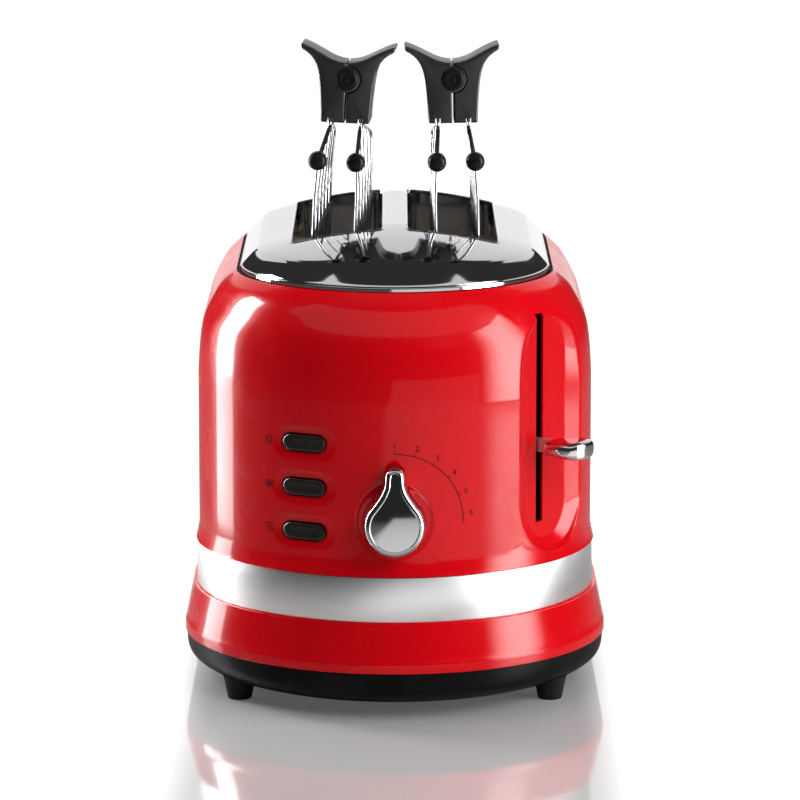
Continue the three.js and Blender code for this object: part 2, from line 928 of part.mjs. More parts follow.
function cordInlet() {
  const { turn, y } = inletPlace();
  const innerFace = -baseWall - inletInnerGap;
  const inner = innerFace - inletFlangeThick;
  const grommet = turned([
    [inletBoreRadius, inner],
    [inletFlangeRadius, inner],
    [inletFlangeRadius, innerFace],
    [inletNeckRadius, innerFace],
    [inletNeckRadius, seatGap * 2],
    [inletFlangeRadius, seatGap * 2],
    [inletFlangeRadius, seatGap * 2 + inletFlangeThick],
    [inletNeckRadius, inletNose],
    [inletBoreRadius, inletNose],
    [inletBoreRadius, inner],
  ]);
  const mesh = geometryOf(grommet);
  mesh.rotateX(-Math.PI / 2);
  mesh.rotateZ(-turn);
  mesh.translate(inletX, y, inletZ);
  return solid(mesh);
}

function terminalBlock() {
  const floorZ = baseBottomZ + baseWall + seatGap;
  let block = box(
    terminalX - terminalWidth / 2,
    terminalX + terminalWidth / 2,
    terminalY - terminalLength / 2,
    terminalY + terminalLength / 2,
    floorZ,
    floorZ + terminalHeight,
  );
  for (let i = 0; i < terminalWaysCount; i++) {
    const y = terminalY + ((i + 0.5) / terminalWaysCount - 0.5) * terminalLength;
    const low = new THREE.Vector3(terminalX, y, floorZ + terminalHeight / 2);
    const high = new THREE.Vector3(terminalX, y, floorZ + terminalHeight + cutOver);
    block = block.subtract(bar(low, high, terminalHoleRadius, roundSidesCount / 2));
  }
  return block;
}

// Chassis and oven

function rackHeights() {
  const high = rackTopZ - rackFingerHeight / 2;
  return { low: high - rackSpineHeight, high };
}

// The plate at the control end has side = -1, and the plate at the other end side = 1
function chassisPlate(side) {
  const inner = side * chassisY;
  const outer = side * (chassisY + chassisThick);
  const lowY = Math.min(inner, outer);
  const highY = Math.max(inner, outer);
  const flangeY = side * (chassisY + chassisFlange);
  const legZ = baseBottomZ + baseWall + seatGap;
  const { low, high } = rackHeights();
  let plate = box(-chassisHalfWidth, chassisHalfWidth, lowY, highY, chassisBottomZ, chassisTopZ);
  for (const edge of [-1, 1]) {
    const outX = edge * chassisHalfWidth;
    const inX = edge * (chassisHalfWidth - chassisThick);
    const legX = edge * (trayHalf + runGap * 2);
    const flange = box(
      Math.min(outX, inX),
      Math.max(outX, inX),
      Math.min(inner, flangeY),
      Math.max(inner, flangeY),
      chassisBottomZ,
      chassisTopZ,
    );
    const legTopZ = chassisBottomZ + chassisThick;
    const leg = box(Math.min(outX, legX), Math.max(outX, legX), lowY, highY, legZ, legTopZ);
    const rackX = edge * slotCentreX;
    const rackHalf = rackSpineThick / 2 + runGap;
    const slot = box(
      rackX - rackHalf,
      rackX + rackHalf,
      lowY - cutOver,
      highY + cutOver,
      low - leverTravelDown - armStopGap,
      high + leverTravelUp + armStopGap,
    );
    plate = plate.add(flange).add(leg).subtract(slot);
  }
  return side < 0 ? plate.add(rodTabs()) : plate;
}

function rodTabs() {
  const reach = rodY - rodTabWidth / 2;
  const half = rodX + rodTabWidth / 2;
  let tabs = box(-half, half, reach, -chassisY, chassisTopZ - rodTabThick, chassisTopZ);
  tabs = tabs.add(box(-half, half, reach, -chassisY, rodTabZ, rodTabZ + rodTabThick));
  for (const side of [-1, 1]) {
    const low = new THREE.Vector3(side * rodX, rodY, rodTabZ - cutOver);
    const high = new THREE.Vector3(side * rodX, rodY, chassisTopZ + cutOver);
    tabs = tabs.subtract(bar(low, high, rodRadius + seatGap));
  }
  return tabs;
}

function sideReflector(side) {
  const reachY = chassisY - seatGap;
  const inner = side * reflectorX;
  const outer = side * (reflectorX + reflectorThick);
  const lip = side * (reflectorX + reflectorLip);
  const sheet = box(
    Math.min(inner, outer),
    Math.max(inner, outer),
    -reachY,
    reachY,
    reflectorBottomZ,
    reflectorTopZ,
  );
  const lips = [reflectorBottomZ, reflectorTopZ - reflectorThick].map((z) =>
    box(Math.min(inner, lip), Math.max(inner, lip), -reachY, reachY, z, z + reflectorThick),
  );
  return union([sheet, ...lips]);
}

function heater(x) {
  const reachY = chassisY - seatGap;
  const half = boardThick / 2;
  const ribbonHalf = half + ribbonRaise;
  const ribbonY = chassisY - ribbonInset;
  const pitch = (heaterTopZ - heaterBottomZ) / ribbonCount;
  let board = box(x - half, x + half, -reachY, reachY, heaterBottomZ, heaterTopZ);
  for (let i = 0; i < ribbonCount; i++) {
    const z = heaterBottomZ + (i + 0.5) * pitch;
    board = board.add(
      box(x - ribbonHalf, x + ribbonHalf, -ribbonY, ribbonY, z - ribbonHeight / 2, z + ribbonHeight / 2),
    );
  }
  return board;
}

function breadGuard(x) {
  const reachY = chassisY - seatGap;
  const straight = (from, to) => wire([from, to], guardWireRadius, barSidesCount);
  const rail = (z) => straight(new THREE.Vector3(x, -reachY, z), new THREE.Vector3(x, reachY, z));
  let guard = union([guardBottomZ, guardCrossZ, guardTopZ].map(rail));
  for (let i = 0; i < guardBarsCount; i++) {
    const y = guardBarsReach * ((2 * i) / (guardBarsCount - 1) - 1);
    const low = new THREE.Vector3(x, y, guardBottomZ);
    const high = new THREE.Vector3(x, y, guardTopZ);
    guard = guard.add(straight(low, high));
  }
  return guard;
}

function guardPlaces() {
  const reach = slotHalfWidth + guardGap;
  return [
    ["outer_left", -slotCentreX - reach],
    ["inner_left", -slotCentreX + reach],
    ["inner_right", slotCentreX - reach],
    ["outer_right", slotCentreX + reach],
  ];
}

// Carriage

function carriagePlate() {
  const front = carriagePlateY - carriageThick;
  const low = leverZ - carriageBottomDrop;
  const high = leverZ + carriageTopRise;
  let plate = box(-carriageHalfWidth, carriageHalfWidth, front, carriagePlateY, low, high);
  for (const side of [-1, 1]) {
    const x = side * rodX;
    const web = box(x - carriageThick, x + carriageThick, rodY, front + carriageThick / 2, low, high);
    const foot = new THREE.Vector3(x, rodY, low);
    const head = new THREE.Vector3(x, rodY, high);
    plate = plate.add(web).add(bar(foot, head, bushRadius));
    const under = new THREE.Vector3(x, rodY, low - cutOver);
    const over = new THREE.Vector3(x, rodY, high + cutOver);
    plate = plate.subtract(bar(under, over, rodRadius + seatGap));
  }
  return plate;
}

function guideRod(side) {
  return bar(
    new THREE.Vector3(side * rodX, rodY, rodBottomZ),
    new THREE.Vector3(side * rodX, rodY, rodTopZ),
    rodRadius,
  );
}

function breadRack(side) {
  const x = side * slotCentreX;
  const { low, high } = rackHeights();
  const half = rackSpineThick / 2;
  let rack = box(x - half, x + half, carriagePlateY + seatGap, rackRearReach, low, high);
  for (let i = 0; i < rackFingersCount; i++) {
    const y = rackFingersReach * ((2 * i) / (rackFingersCount - 1) - 1);
    const finger = box(
      x - rackFingerHalf,
      x + rackFingerHalf,
      y - rackFingerThick / 2,
      y + rackFingerThick / 2,
      rackTopZ - rackFingerHeight,
      rackTopZ,
    );
    rack = rack.add(finger);
  }
  return rack;
}

function keeperHeights() {
  const low = leverZ - carriageBottomDrop;
  return { low, high: low + keeperThick };
}

function latchKeeper() {
  const rear = carriagePlateY - carriageThick - seatGap;
  const { low, high } = keeperHeights();
  return box(-keeperHalfWidth, keeperHalfWidth, rear - keeperDepth, rear, low, high);
}

function holdMagnet() {
  const rear = -chassisY - chassisThick - seatGap;
  const top = keeperHeights().low - leverTravelDown - seatGap;
  const poleLow = top - magnetPoleRise;
  const yoke = box(-magnetHalfWidth, magnetHalfWidth, rear - magnetDepth, rear, top - magnetHeight, top);
  const gap = box(
    -magnetHalfWidth + magnetPoleInset,
    magnetHalfWidth - magnetPoleInset,
    rear - magnetDepth - cutOver,
    rear - magnetPoleInset,
    poleLow,
    top + cutOver,
  );
  return yoke.subtract(gap);
}

function carriageSpring() {
  const bottom = keeperHeights().high + seatGap + springWireRadius;
  const top = chassisTopZ - rodTabThick - seatGap - springWireRadius;
  const steps = springTurnsCount * springStepsCount;
  const loops = [];
  for (let k = 0; k <= steps; k++) {
    const t = (k / springStepsCount) * 2 * Math.PI;
    const z = bottom + (k / steps) * (top - bottom);
    const out = new THREE.Vector3(Math.cos(t), Math.sin(t), 0);
    const middle = new THREE.Vector3(springX, rodY, z).addScaledVector(out, springRadius);
    loops.push(
      Array.from({ length: springWireSidesCount }, (_, i) => {
        const s = (i / springWireSidesCount) * 2 * Math.PI;
        return middle
          .clone()
          .addScaledVector(out, springWireRadius * Math.cos(s))
          .add(new THREE.Vector3(0, 0, springWireRadius * Math.sin(s)));
      }),
    );
  }
  return loft(loops);
}

function leverBar(halfThick, lowZ, highZ, from, to) {
  const { at } = recessPlace();
  const loopAt = (y) =>
    [[-1, lowZ], [1, lowZ], [1, highZ], [-1, highZ]].map(([side, z]) =>
      at(leverSlotOffset + side * halfThick, y - recessFloorDepth, z),
    );
  return loft([loopAt(from), loopAt(to)]);
}

function leverArm() {
  const { at, turn } = recessPlace();
  const rear = carriagePlateY - carriageThick - seatGap;
  const slot = at(leverSlotOffset, -recessFloorDepth, leverZ);
  const innerReach = (rear - carriageThick - slot.y) / Math.cos(turn);
  const root = at(leverSlotOffset, -innerReach - recessFloorDepth, leverZ);
  const low = leverZ - armHeight / 2;
  const high = leverZ + armHeight / 2;
  const shank = leverBar(armThick / 2, low, high, -innerReach, armOuterReach);
  const foot = box(
    root.x - armThick / 2,
    root.x - armThick / 2 + armFootWidth,
    rear - carriageThick,
    rear,
    leverZ - armFootHeight / 2,
    leverZ + armFootHeight / 2,
  );
  const trim = box(
    root.x - armFootWidth,
    root.x + armFootWidth,
    rear,
    rear + armFootWidth,
    leverZ - armFootHeight,
    leverZ + armFootHeight,
  );
  return shank.add(foot).subtract(trim);
}

// A paddle round in plan at its outer end, thicker there than at its neck
function leverPaddle() {
  const { at } = recessPlace();
  const loops = paddleShares.map(([reach, spread, swell]) => {
    const half = paddleHalfWidth * spread;
    const rise = (paddleNeckHeight + swell * (paddleHeight - paddleNeckHeight)) / 2;
    const y = paddleStart + reach * paddleLength - recessFloorDepth;
    const points = [];
    for (let i = 0; i < roundSidesCount; i++) {
      const t = ((i + 0.5) / roundSidesCount) * 2 * Math.PI;
      const across = Math.sign(Math.cos(t)) * Math.abs(Math.cos(t)) ** paddleAcrossPower;
      const up = Math.sign(Math.sin(t)) * Math.abs(Math.sin(t)) ** paddleUpPower;
      points.push(at(leverSlotOffset + half * across, y, leverZ + rise * up));
    }
    return points;
  });
  const grow = seatGap;
  const socket = leverBar(
    armThick / 2 + grow,
    leverZ - armHeight / 2 - grow,
    leverZ + armHeight / 2 + grow,
    paddleStart - cutOver,
    armOuterReach + grow,
  );
  return loft(loops).subtract(socket);
}

// Controls

function boardFaceY() {
  return boardSetback - endReach(0, waistHalf);
}

function controlBoard() {
  let board = box(boardLeftX, boardRightX, boardFaceY(), boardFaceY() + boardPlateThick, boardBottomZ, boardTopZ);
  const behindShell = waistFill(-shellWall - seatGap);
  const postZs = [boardBottomZ + boardPostInset, boardTopZ - boardPostInset];
  for (const x of [boardLeftX + boardPostInset, boardRightX - boardPostInset]) {
    for (const z of postZs) {
      const front = new THREE.Vector3(x, -endReach(0, waistHalf), z);
      const back = new THREE.Vector3(x, boardFaceY() + boardPlateThick / 2, z);
      board = board.add(bar(front, back, boardPostRadius, roundSidesCount / 2).intersect(behindShell));
    }
  }
  return board;
}

function switchTipY() {
  return boardFaceY() - seatGap - switchDepth - switchPlungerRise;
}

function tactSwitch(z) {
  const rear = boardFaceY() - seatGap;
  const body = box(
    buttonX - switchHalf,
    buttonX + switchHalf,
    rear - switchDepth,
    rear,
    z - switchHalf,
    z + switchHalf,
  );
  const plunger = bar(
    new THREE.Vector3(buttonX, switchTipY(), z),
    new THREE.Vector3(buttonX, rear - switchDepth / 2, z),
    switchPlungerRadius,
    roundSidesCount / 2,
  );
  return body.add(plunger);
}

function pushButton(z) {
  const front = -endReach(0, waistHalf) - cutOver;
  const behind = -shellWall - seatGap;
  const deep = behind - buttonFlangeThick;
  const stemEnd = switchTipY() - buttonTravel - seatGap;
  const capBand = waistFill(buttonProud).subtract(waistFill(deep));
  const flangeBand = waistFill(behind).subtract(waistFill(deep));
  const cap = pill(buttonX, z, buttonHalfWidth, buttonHalfHeight, front, -straightHalf).intersect(capBand);
  const flange = pill(
    buttonX,
    z,
    buttonHalfWidth + buttonFlange,
    buttonHalfHeight + buttonFlange,
    front,
    -straightHalf,
  ).intersect(flangeBand);
  const stem = box(
    buttonX - buttonStemHalf,
    buttonX + buttonStemHalf,
    front,
    stemEnd,
    z - buttonStemHalf,
    z + buttonStemHalf,
  ).intersect(waistFill(behind - buttonFlangeThick / 2));
  return union([cap, flange, stem]);
}

function knobBackY() {
  return -endReach(0, waistHalf) - knobGap;
}

function browningDial() {
  const rear = boardFaceY() - seatGap;
  const body = box(-dialHalf, dialHalf, rear - dialDepth, rear, knobZ - dialHalf, knobZ + dialHalf);
  const mouth = new THREE.Vector3(0, rear - dialDepth - cutOver, knobZ);
  const end = new THREE.Vector3(0, rear - dialDepth / 2, knobZ);
  return body.subtract(bar(mouth, end, shaftRadius + seatGap));
}

function browningShaft() {
  const rear = boardFaceY() - seatGap - dialDepth / 2 - seatGap;
  const front = knobBackY() - shaftSocketDepth + seatGap;
  return bar(new THREE.Vector3(0, front, knobZ), new THREE.Vector3(0, rear, knobZ), shaftRadius);
}

// The drop shape of the knob: a round bulb that draws in to a narrow round tip
function knobLoop(inset, y) {
  const side = [];
  for (let i = 0; i <= knobBulbStepsCount; i++) {
    const t = (-0.5 + (i / knobBulbStepsCount) * knobBulbShare) * Math.PI;
    side.push([(knobRadius - inset) * Math.cos(t), (knobRadius - inset) * Math.sin(t)]);
  }
  for (const [reach, spread] of knobNeckShares) {
    side.push([knobRadius * spread - inset, knobTipReach * reach]);
  }
  for (let i = 0; i <= knobTipStepsCount; i++) {
    const t = (i / knobTipStepsCount) * 0.5 * Math.PI;
    side.push([(knobTipRadius - inset) * Math.cos(t), knobTipReach + (knobTipRadius - inset) * Math.sin(t)]);
  }
  const far = side.slice(1, -1).reverse().map(([x, z]) => [-x, z]);
  return [...side, ...far].map(([x, z]) => new THREE.Vector3(Math.abs(x) < tinyLength ? 0 : x, y, knobZ + z));
}

function browningKnob() {
  const back = knobBackY();
  const body = loft(
    knobDepthShares.map(([depth, inset]) => knobLoop(inset * knobTipRadius, back - depth * knobDepth)),
  );
  const mouth = new THREE.Vector3(0, back + cutOver, knobZ);
  const end = new THREE.Vector3(0, back - shaftSocketDepth, knobZ);
  return body.subtract(bar(mouth, end, shaftRadius + seatGap));
}

// Bread tongs, with their pivot at the origin: two handle halves on one pin, each holding a wire cage

function handleHalf() {
  const split = -handleSplitGap / 2;
  const outline = [
    [split, -handleDrop],
    [-handleFootHalf, -handleDrop],
    ...handleSideShares.map(([out, rise]) => [-out * handleWingHalf, rise * handleWingRise]),
    [split, handleValleyRise],
  ];
  const shape = new THREE.Shape(outline.map(([x, z]) => new THREE.Vector2(x, z)));
  const geometry = new THREE.ExtrudeGeometry(shape, { depth: 2 * handleHalfDepth, bevelEnabled: false });
  geometry.rotateX(Math.PI / 2);
  geometry.translate(0, handleHalfDepth, 0);
  const across = (low, high, radius) => bar(new THREE.Vector3(0, low, 0), new THREE.Vector3(0, high, 0), radius);
  const knuckle = across(-handleHalfDepth, -seatGap / 2, knuckleRadius);
  const clear = across(-seatGap / 2, handleHalfDepth + cutOver, knuckleRadius + runGap);
  const bore = across(-handleHalfDepth - cutOver, handleHalfDepth + cutOver, pinRadius + seatGap);
  const pocket = box(
    -cageTopHalfGap - wirePocketWidth / 2,
    -cageTopHalfGap + wirePocketWidth / 2,
    -cageRootY - cageWireRadius - seatGap,
    cageRootY + cageWireRadius + seatGap,
    -handleDrop - cutOver,
    -handleDrop + wirePocketDepth,
  );
  return solid(geometry).subtract(clear).add(knuckle).subtract(bore).subtract(pocket);
}

function pivotPin() {
  const face = handleHalfDepth + seatGap;
  const geometry = new THREE.LatheGeometry(
    [
      [0, -face - pinHeadThick],
      [pinHeadRadius - pinHeadThick / 2, -face - pinHeadThick],
      [pinHeadRadius, -face - pinHeadThick / 2],
      [pinHeadRadius, -face],
      [pinRadius, -face],
      [pinRadius, face],
      [pinHeadRadius, face],
      [pinHeadRadius, face + pinHeadThick / 2],
      [pinHeadRadius - pinHeadThick / 2, face + pinHeadThick],
      [0, face + pinHeadThick],
    ].map(([r, y]) => new THREE.Vector2(r, y)),
    roundSidesCount,
  );
  return solid(geometry);
}

// How far the cage lies from the middle of the tongs at a drop below the pivot
function cageOffset(drop) {
  if (drop >= cageBendDrop) return cageHalfGap;
  const share = Math.max(0, (drop - cageShoulderDrop) / (cageBendDrop - cageShoulderDrop));
  return cageShoulderHalfGap + share * (cageHalfGap - cageShoulderHalfGap);
}

// The sloping wire from the handle out to the cage's upper corner
function shoulderAt(y) {
  const rootDrop = handleDrop + cageWireRadius;
  const share = (Math.abs(y) - cageRootY) / (cageHalfLength - cageRootY);
  const x = cageTopHalfGap + share * (cageShoulderHalfGap - cageTopHalfGap);
  return { x, z: -rootDrop - share * (cageShoulderDrop - rootDrop) };
}

function cage(side) {
  const at = (x, y, z) => new THREE.Vector3(side * x, y, z);
  const corner = cageCornerRadius;
  const bend = corner * (1 - Math.SQRT1_2);
  const rootTop = -handleDrop + wirePocketDepth - seatGap;
  const halfFrame = (end) => {
    const last = shoulderAt(end * (cageHalfLength - corner));
    return [
      at(cageTopHalfGap, end * cageRootY, rootTop),
      at(cageTopHalfGap, end * cageRootY, shoulderAt(cageRootY).z),
      at(last.x, end * (cageHalfLength - corner), last.z),
      at(cageShoulderHalfGap, end * cageHalfLength, -cageShoulderDrop - corner),
      at(cageHalfGap, end * cageHalfLength, -cageBendDrop),
      at(cageHalfGap, end * cageHalfLength, -cageBottomDrop + corner),
      at(cageHalfGap, end * (cageHalfLength - bend), -cageBottomDrop + bend),
      at(cageHalfGap, end * (cageHalfLength - corner), -cageBottomDrop),
    ];
  };
  let made = wire([...halfFrame(-1), ...halfFrame(1).reverse()], cageWireRadius, cageWireSidesCount);
  for (const share of cageBarShares) {
    const drop = cageBendDrop + share * (cageBottomDrop - cageBendDrop);
    const x = cageOffset(drop);
    const line = [at(x, -cageHalfLength, -drop), at(x, cageHalfLength, -drop)];
    made = made.add(wire(line, cageBarRadius, barSidesCount));
  }
  for (const share of cageUprightShares) {
    const y = share * cageHalfLength;
    const top = shoulderAt(y);
    const line = [at(top.x, y, top.z), at(cageHalfGap, y, -cageBendDrop), at(cageHalfGap, y, -cageBottomDrop)];
    made = made.add(wire(line, cageBarRadius, barSidesCount));
  }
  const stubStart = shoulderAt(-cageHalfLength + corner);
  const stub = wire(
    [
      at(stubStart.x, -cageHalfLength + corner, stubStart.z),
      at(cageShoulderHalfGap, -cageHalfLength, -cageShoulderDrop),
      at(cageShoulderHalfGap, -cageHalfLength - capStub, -cageShoulderDrop),
    ],
    cageWireRadius,
    cageWireSidesCount,
  );
  return made.add(stub);
}

function tipCap(side) {
  const start = -cageHalfLength - cageWireRadius - seatGap;
  const profile = capShares.map(([out, along]) => new THREE.Vector2(out * capRadius, along * capLength));
  const geometry = new THREE.LatheGeometry(profile, capSidesCount);
  geometry.rotateX(Math.PI);
  geometry.translate(side * cageShoulderHalfGap, start, -cageShoulderDrop);
  const mouth = new THREE.Vector3(side * cageShoulderHalfGap, start + cutOver, -cageShoulderDrop);
  const end = new THREE.Vector3(side * cageShoulderHalfGap, -cageHalfLength - capStub - seatGap, -cageShoulderDrop);
  return solid(geometry).subtract(bar(mouth, end, cageWireRadius + seatGap, cageWireSidesCount));
}

// Assembly

function named(name, made, look) {
  const mesh = new THREE.Mesh(geometryOf(made), new THREE.MeshStandardMaterial(look));
  mesh.name = name;
  return mesh;
}

function casingPieces() {
  const pieces = [
    named("body_shell", bodyShell(), paintRed),
    named("lower_skirt", lowerSkirt(), paintRed),
    named("steel_band", steelBand(), steelBrushed),
    named("top_plate", topPlate(), chromeBright),
    named("top_seal", topSeal(), rubberBlack),
    named("base_tray", baseTray(), plasticBlack),
    named("crumb_tray", crumbTray(), steelPlain),
    named("cord_inlet", cordInlet(), plasticBlack),
    named("terminal_block", terminalBlock(), plasticGrey),
  ];
  for (const [end, sideY] of [["front", -1], ["rear", 1]]) {
    for (const [hand, sideX] of [["left", -1], ["right", 1]]) {
      pieces.push(named(`foot_${end}_${hand}`, foot(sideX, sideY), rubberBlack));
    }
  }
  return pieces;
}

function ovenPieces() {
  const pieces = [
    named("chassis_front", chassisPlate(-1), steelPlain),
    named("chassis_rear", chassisPlate(1), steelPlain),
    named("side_reflector_left", sideReflector(-1), steelPlain),
    named("side_reflector_right", sideReflector(1), steelPlain),
    named("heater_left", heater(-heaterSideX), micaTan),
    named("heater_centre", heater(0), micaTan),
    named("heater_right", heater(heaterSideX), micaTan),
    named("hold_magnet", holdMagnet(), steelPlain),
  ];
  for (const [place, x] of guardPlaces()) {
    pieces.push(named(`bread_guard_${place}`, breadGuard(x), steelPlain));
  }
  return pieces;
}

function carriagePieces() {
  const pieces = [
    named("carriage_plate", carriagePlate(), steelPlain),
    named("carriage_spring", carriageSpring(), steelPlain),
    named("latch_keeper", latchKeeper(), steelPlain),
    named("lever_arm", leverArm(), steelPlain),
    named("lever_paddle", leverPaddle(), chromeBright),
  ];
  for (const [hand, side] of [["left", -1], ["right", 1]]) {
    pieces.push(named(`guide_rod_${hand}`, guideRod(side), steelPlain));
    pieces.push(named(`bread_rack_${hand}`, breadRack(side), steelPlain));
  }
  return pieces;
}

function controlPieces() {
  const pieces = [
    named("control_board", controlBoard(), boardGreen),
    named("browning_dial_body", browningDial(), plasticGrey),
    named("browning_shaft", browningShaft(), steelPlain),
    named("browning_knob", browningKnob(), chromeBright),
  ];
  const uses = ["stop", "defrost", "reheat"];
  buttonHeights().forEach((z, i) => {
    pieces.push(named(`button_${uses[i]}`, pushButton(z), plasticGrey));
    pieces.push(named(`switch_${uses[i]}`, tactSwitch(z), plasticBlack));
  });
  return pieces;
}

function tongs({ side, x, leanDeg, yawDeg }) {
  const group = new THREE.Group();
  group.position.set(x, 0, tongPivotZ);
  const lean = THREE.MathUtils.degToRad(leanDeg);
  const yaw = THREE.MathUtils.degToRad(yawDeg);
  group.rotation.set(0, lean, yaw, "ZYX");
  const outer = named(`tongs_${side}_handle_a`, handleHalf(), plasticBlack);
  const inner = named(`tongs_${side}_handle_b`, handleHalf(), plasticBlack);
  inner.rotation.z = Math.PI;
  group.add(outer, inner, named(`tongs_${side}_pin`, pivotPin(), plasticBlack));
  for (const [half, sign] of [["a", -1], ["b", 1]]) {
    group.add(named(`tongs_${side}_cage_${half}`, cage(sign), chromeBright));
    group.add(named(`tongs_${side}_cap_${half}`, tipCap(sign), plasticBlack));
  }
  return group;
}

const toaster = new THREE.Group();
toaster.name = "toaster";
const frontReach = knobDepth - knobBackY();
const rearReach = endReach(0, skirtBottomHalf);
toaster.position.y = (frontReach - rearReach) / 2;
toaster.add(...casingPieces(), ...ovenPieces(), ...carriagePieces(), ...controlPieces());
toaster.add(...tongPlaces.map(tongs));

export default toaster;
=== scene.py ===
import logging
import math
from dataclasses import dataclass, field, replace
from enum import Enum
from typing import Callable, Iterable, Sequence

import bmesh
import bpy
import numpy as np
from mathutils import Matrix, Vector


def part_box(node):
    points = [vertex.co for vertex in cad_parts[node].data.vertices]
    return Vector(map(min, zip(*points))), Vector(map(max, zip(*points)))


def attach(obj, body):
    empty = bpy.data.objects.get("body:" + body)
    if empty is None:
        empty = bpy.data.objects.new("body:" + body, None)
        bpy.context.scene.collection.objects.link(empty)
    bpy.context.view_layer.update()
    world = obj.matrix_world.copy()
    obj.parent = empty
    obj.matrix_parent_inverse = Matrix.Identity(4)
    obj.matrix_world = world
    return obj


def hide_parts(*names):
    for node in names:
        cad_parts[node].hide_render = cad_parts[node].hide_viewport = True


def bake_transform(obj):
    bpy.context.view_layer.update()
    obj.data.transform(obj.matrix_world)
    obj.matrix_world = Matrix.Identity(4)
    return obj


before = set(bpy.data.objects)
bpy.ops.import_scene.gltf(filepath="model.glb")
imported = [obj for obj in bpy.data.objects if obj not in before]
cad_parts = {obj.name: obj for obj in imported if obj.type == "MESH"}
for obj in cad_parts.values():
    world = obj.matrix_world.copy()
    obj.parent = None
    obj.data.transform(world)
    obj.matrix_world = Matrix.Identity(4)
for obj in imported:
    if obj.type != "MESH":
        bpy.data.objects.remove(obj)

LOG = logging.getLogger("toaster")
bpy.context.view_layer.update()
MM = 0.001
WELD = 2e-6
SHARP_DEG = 40.0
TURNED_SHARP_DEG = 50.0
WIRE_SHARP_DEG = 60.0
FULL_TURN = 2 * math.pi
BEND_SHARE = 0.49
ROUND_PIECES = 40
RING_PIECES = (96, 12)
WHITE = (1.0, 1.0, 1.0, 1.0)
Pair = tuple[float, float]
Triple = tuple[float, float, float]
BMesh = bmesh.types.BMesh
Socket = bpy.types.NodeSocket


def millimetres(*values: float) -> Vector:
    """Gives a vector in metres from its parts in millimetres."""
    return Vector(values) * MM


def middle_y(node: str) -> float:
    """Gives the middle of a CAD node along Y, in millimetres."""
    low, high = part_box(node)
    return (low.y + high.y) / 2 / MM


BODY_Y = middle_y("heater_centre")


@dataclass(frozen=True)
class Layout:
    """Where the controls are on the body's front, and how wide the body is there, in millimetres."""

    waist_half: float = 89.4
    knob_z: float = 89.8
    button_x: float = -39.8
    button_heights: tuple[float, ...] = (122.8, 103.1, 83.4)
    lever_middle: Pair = (69.3, -104.6)
    lever_facing_deg: float = 55.2
    lever_across: float = -4.8


LAYOUT = Layout()


# Curves


def smooth_line(points: Sequence[Pair], steps: int = 6) -> list[Pair]:
    """Draws a smooth line through a few points.

    Args:
        points: The points that the line passes through.
        steps: How many pieces each stretch is cut into.

    Returns:
        The points of the smooth line, its ends included.
    """
    held = [np.array(p, float) for p in (points[0], *points, points[-1])]
    line = []
    for a, b, c, d in zip(held, held[1:], held[2:], held[3:]):
        for k in range(steps):
            t = k / steps
            square = 2 * a - 5 * b + 4 * c - d
            cube = 3 * b - a - 3 * c + d
            line.append(0.5 * (2 * b + (c - a) * t + square * t**2 + cube * t**3))
    line.append(held[-1])
    return [tuple(float(x) for x in p) for p in line]


def rounded_line(
    points: Sequence[Sequence[float]], radii: float | Sequence[float], steps: int = 5, closed: bool = False
) -> list[Vector]:
    """Rounds the corners of a bent line.

    Args:
        points: The corners, in two or three dimensions.
        radii: The radius of every corner, or one for each.
        steps: How many pieces each rounded corner has.
        closed: Whether the last point joins the first.

    Returns:
        The points of the rounded line.
    """
    corners = [Vector(p) for p in points]
    count = len(corners)
    sizes = [radii] * count if isinstance(radii, (int, float)) else list(radii)
    line: list[Vector] = []
    for k, corner in enumerate(corners):
        if sizes[k] <= 0 or (not closed and k in (0, count - 1)):
            line.append(corner)
            continue
        back = corners[k - 1] - corner
        ahead = corners[(k + 1) % count] - corner
        turn = math.pi - back.angle(ahead)
        reach = min(sizes[k] * math.tan(turn / 2), BEND_SHARE * back.length, BEND_SHARE * ahead.length)
        start = corner + back.normalized() * reach
        end = corner + ahead.normalized() * reach
        for i in range(steps + 1):
            t = i / steps
            line.append(start * (1 - t) ** 2 + corner * (2 * t * (1 - t)) + end * t**2)
    return line


def rounded_ring(points: Sequence[Pair], radius: float, steps: int) -> list[Pair]:
    """Rounds the corners of a closed flat line, and gives plain pairs."""
    return [(p.x, p.y) for p in rounded_line(points, radius, steps, closed=True)]


def soft_least(a: float, b: float, width: float) -> float:
    """Gives the smaller of two values, rounded off where they are nearly equal."""
    near = max(width - abs(a - b), 0) / width
    return min(a, b) - near * near * width / 4


def subdivided(stops: Iterable[float], step: float) -> list[float]:
    """Cuts the stretches between stops into pieces no longer than a step.

    Args:
        stops: Values that have to be in the result.
        step: The longest piece.

    Returns:
        The stops and the values between them, in rising order.
    """
    ordered = sorted(set(round(s, 6) for s in stops))
    values = [ordered[0]]
    for low, high in zip(ordered, ordered[1:]):
        count = max(1, math.ceil((high - low) / step))
        values.extend(low + (high - low) * k / count for k in range(1, count + 1))
    return values


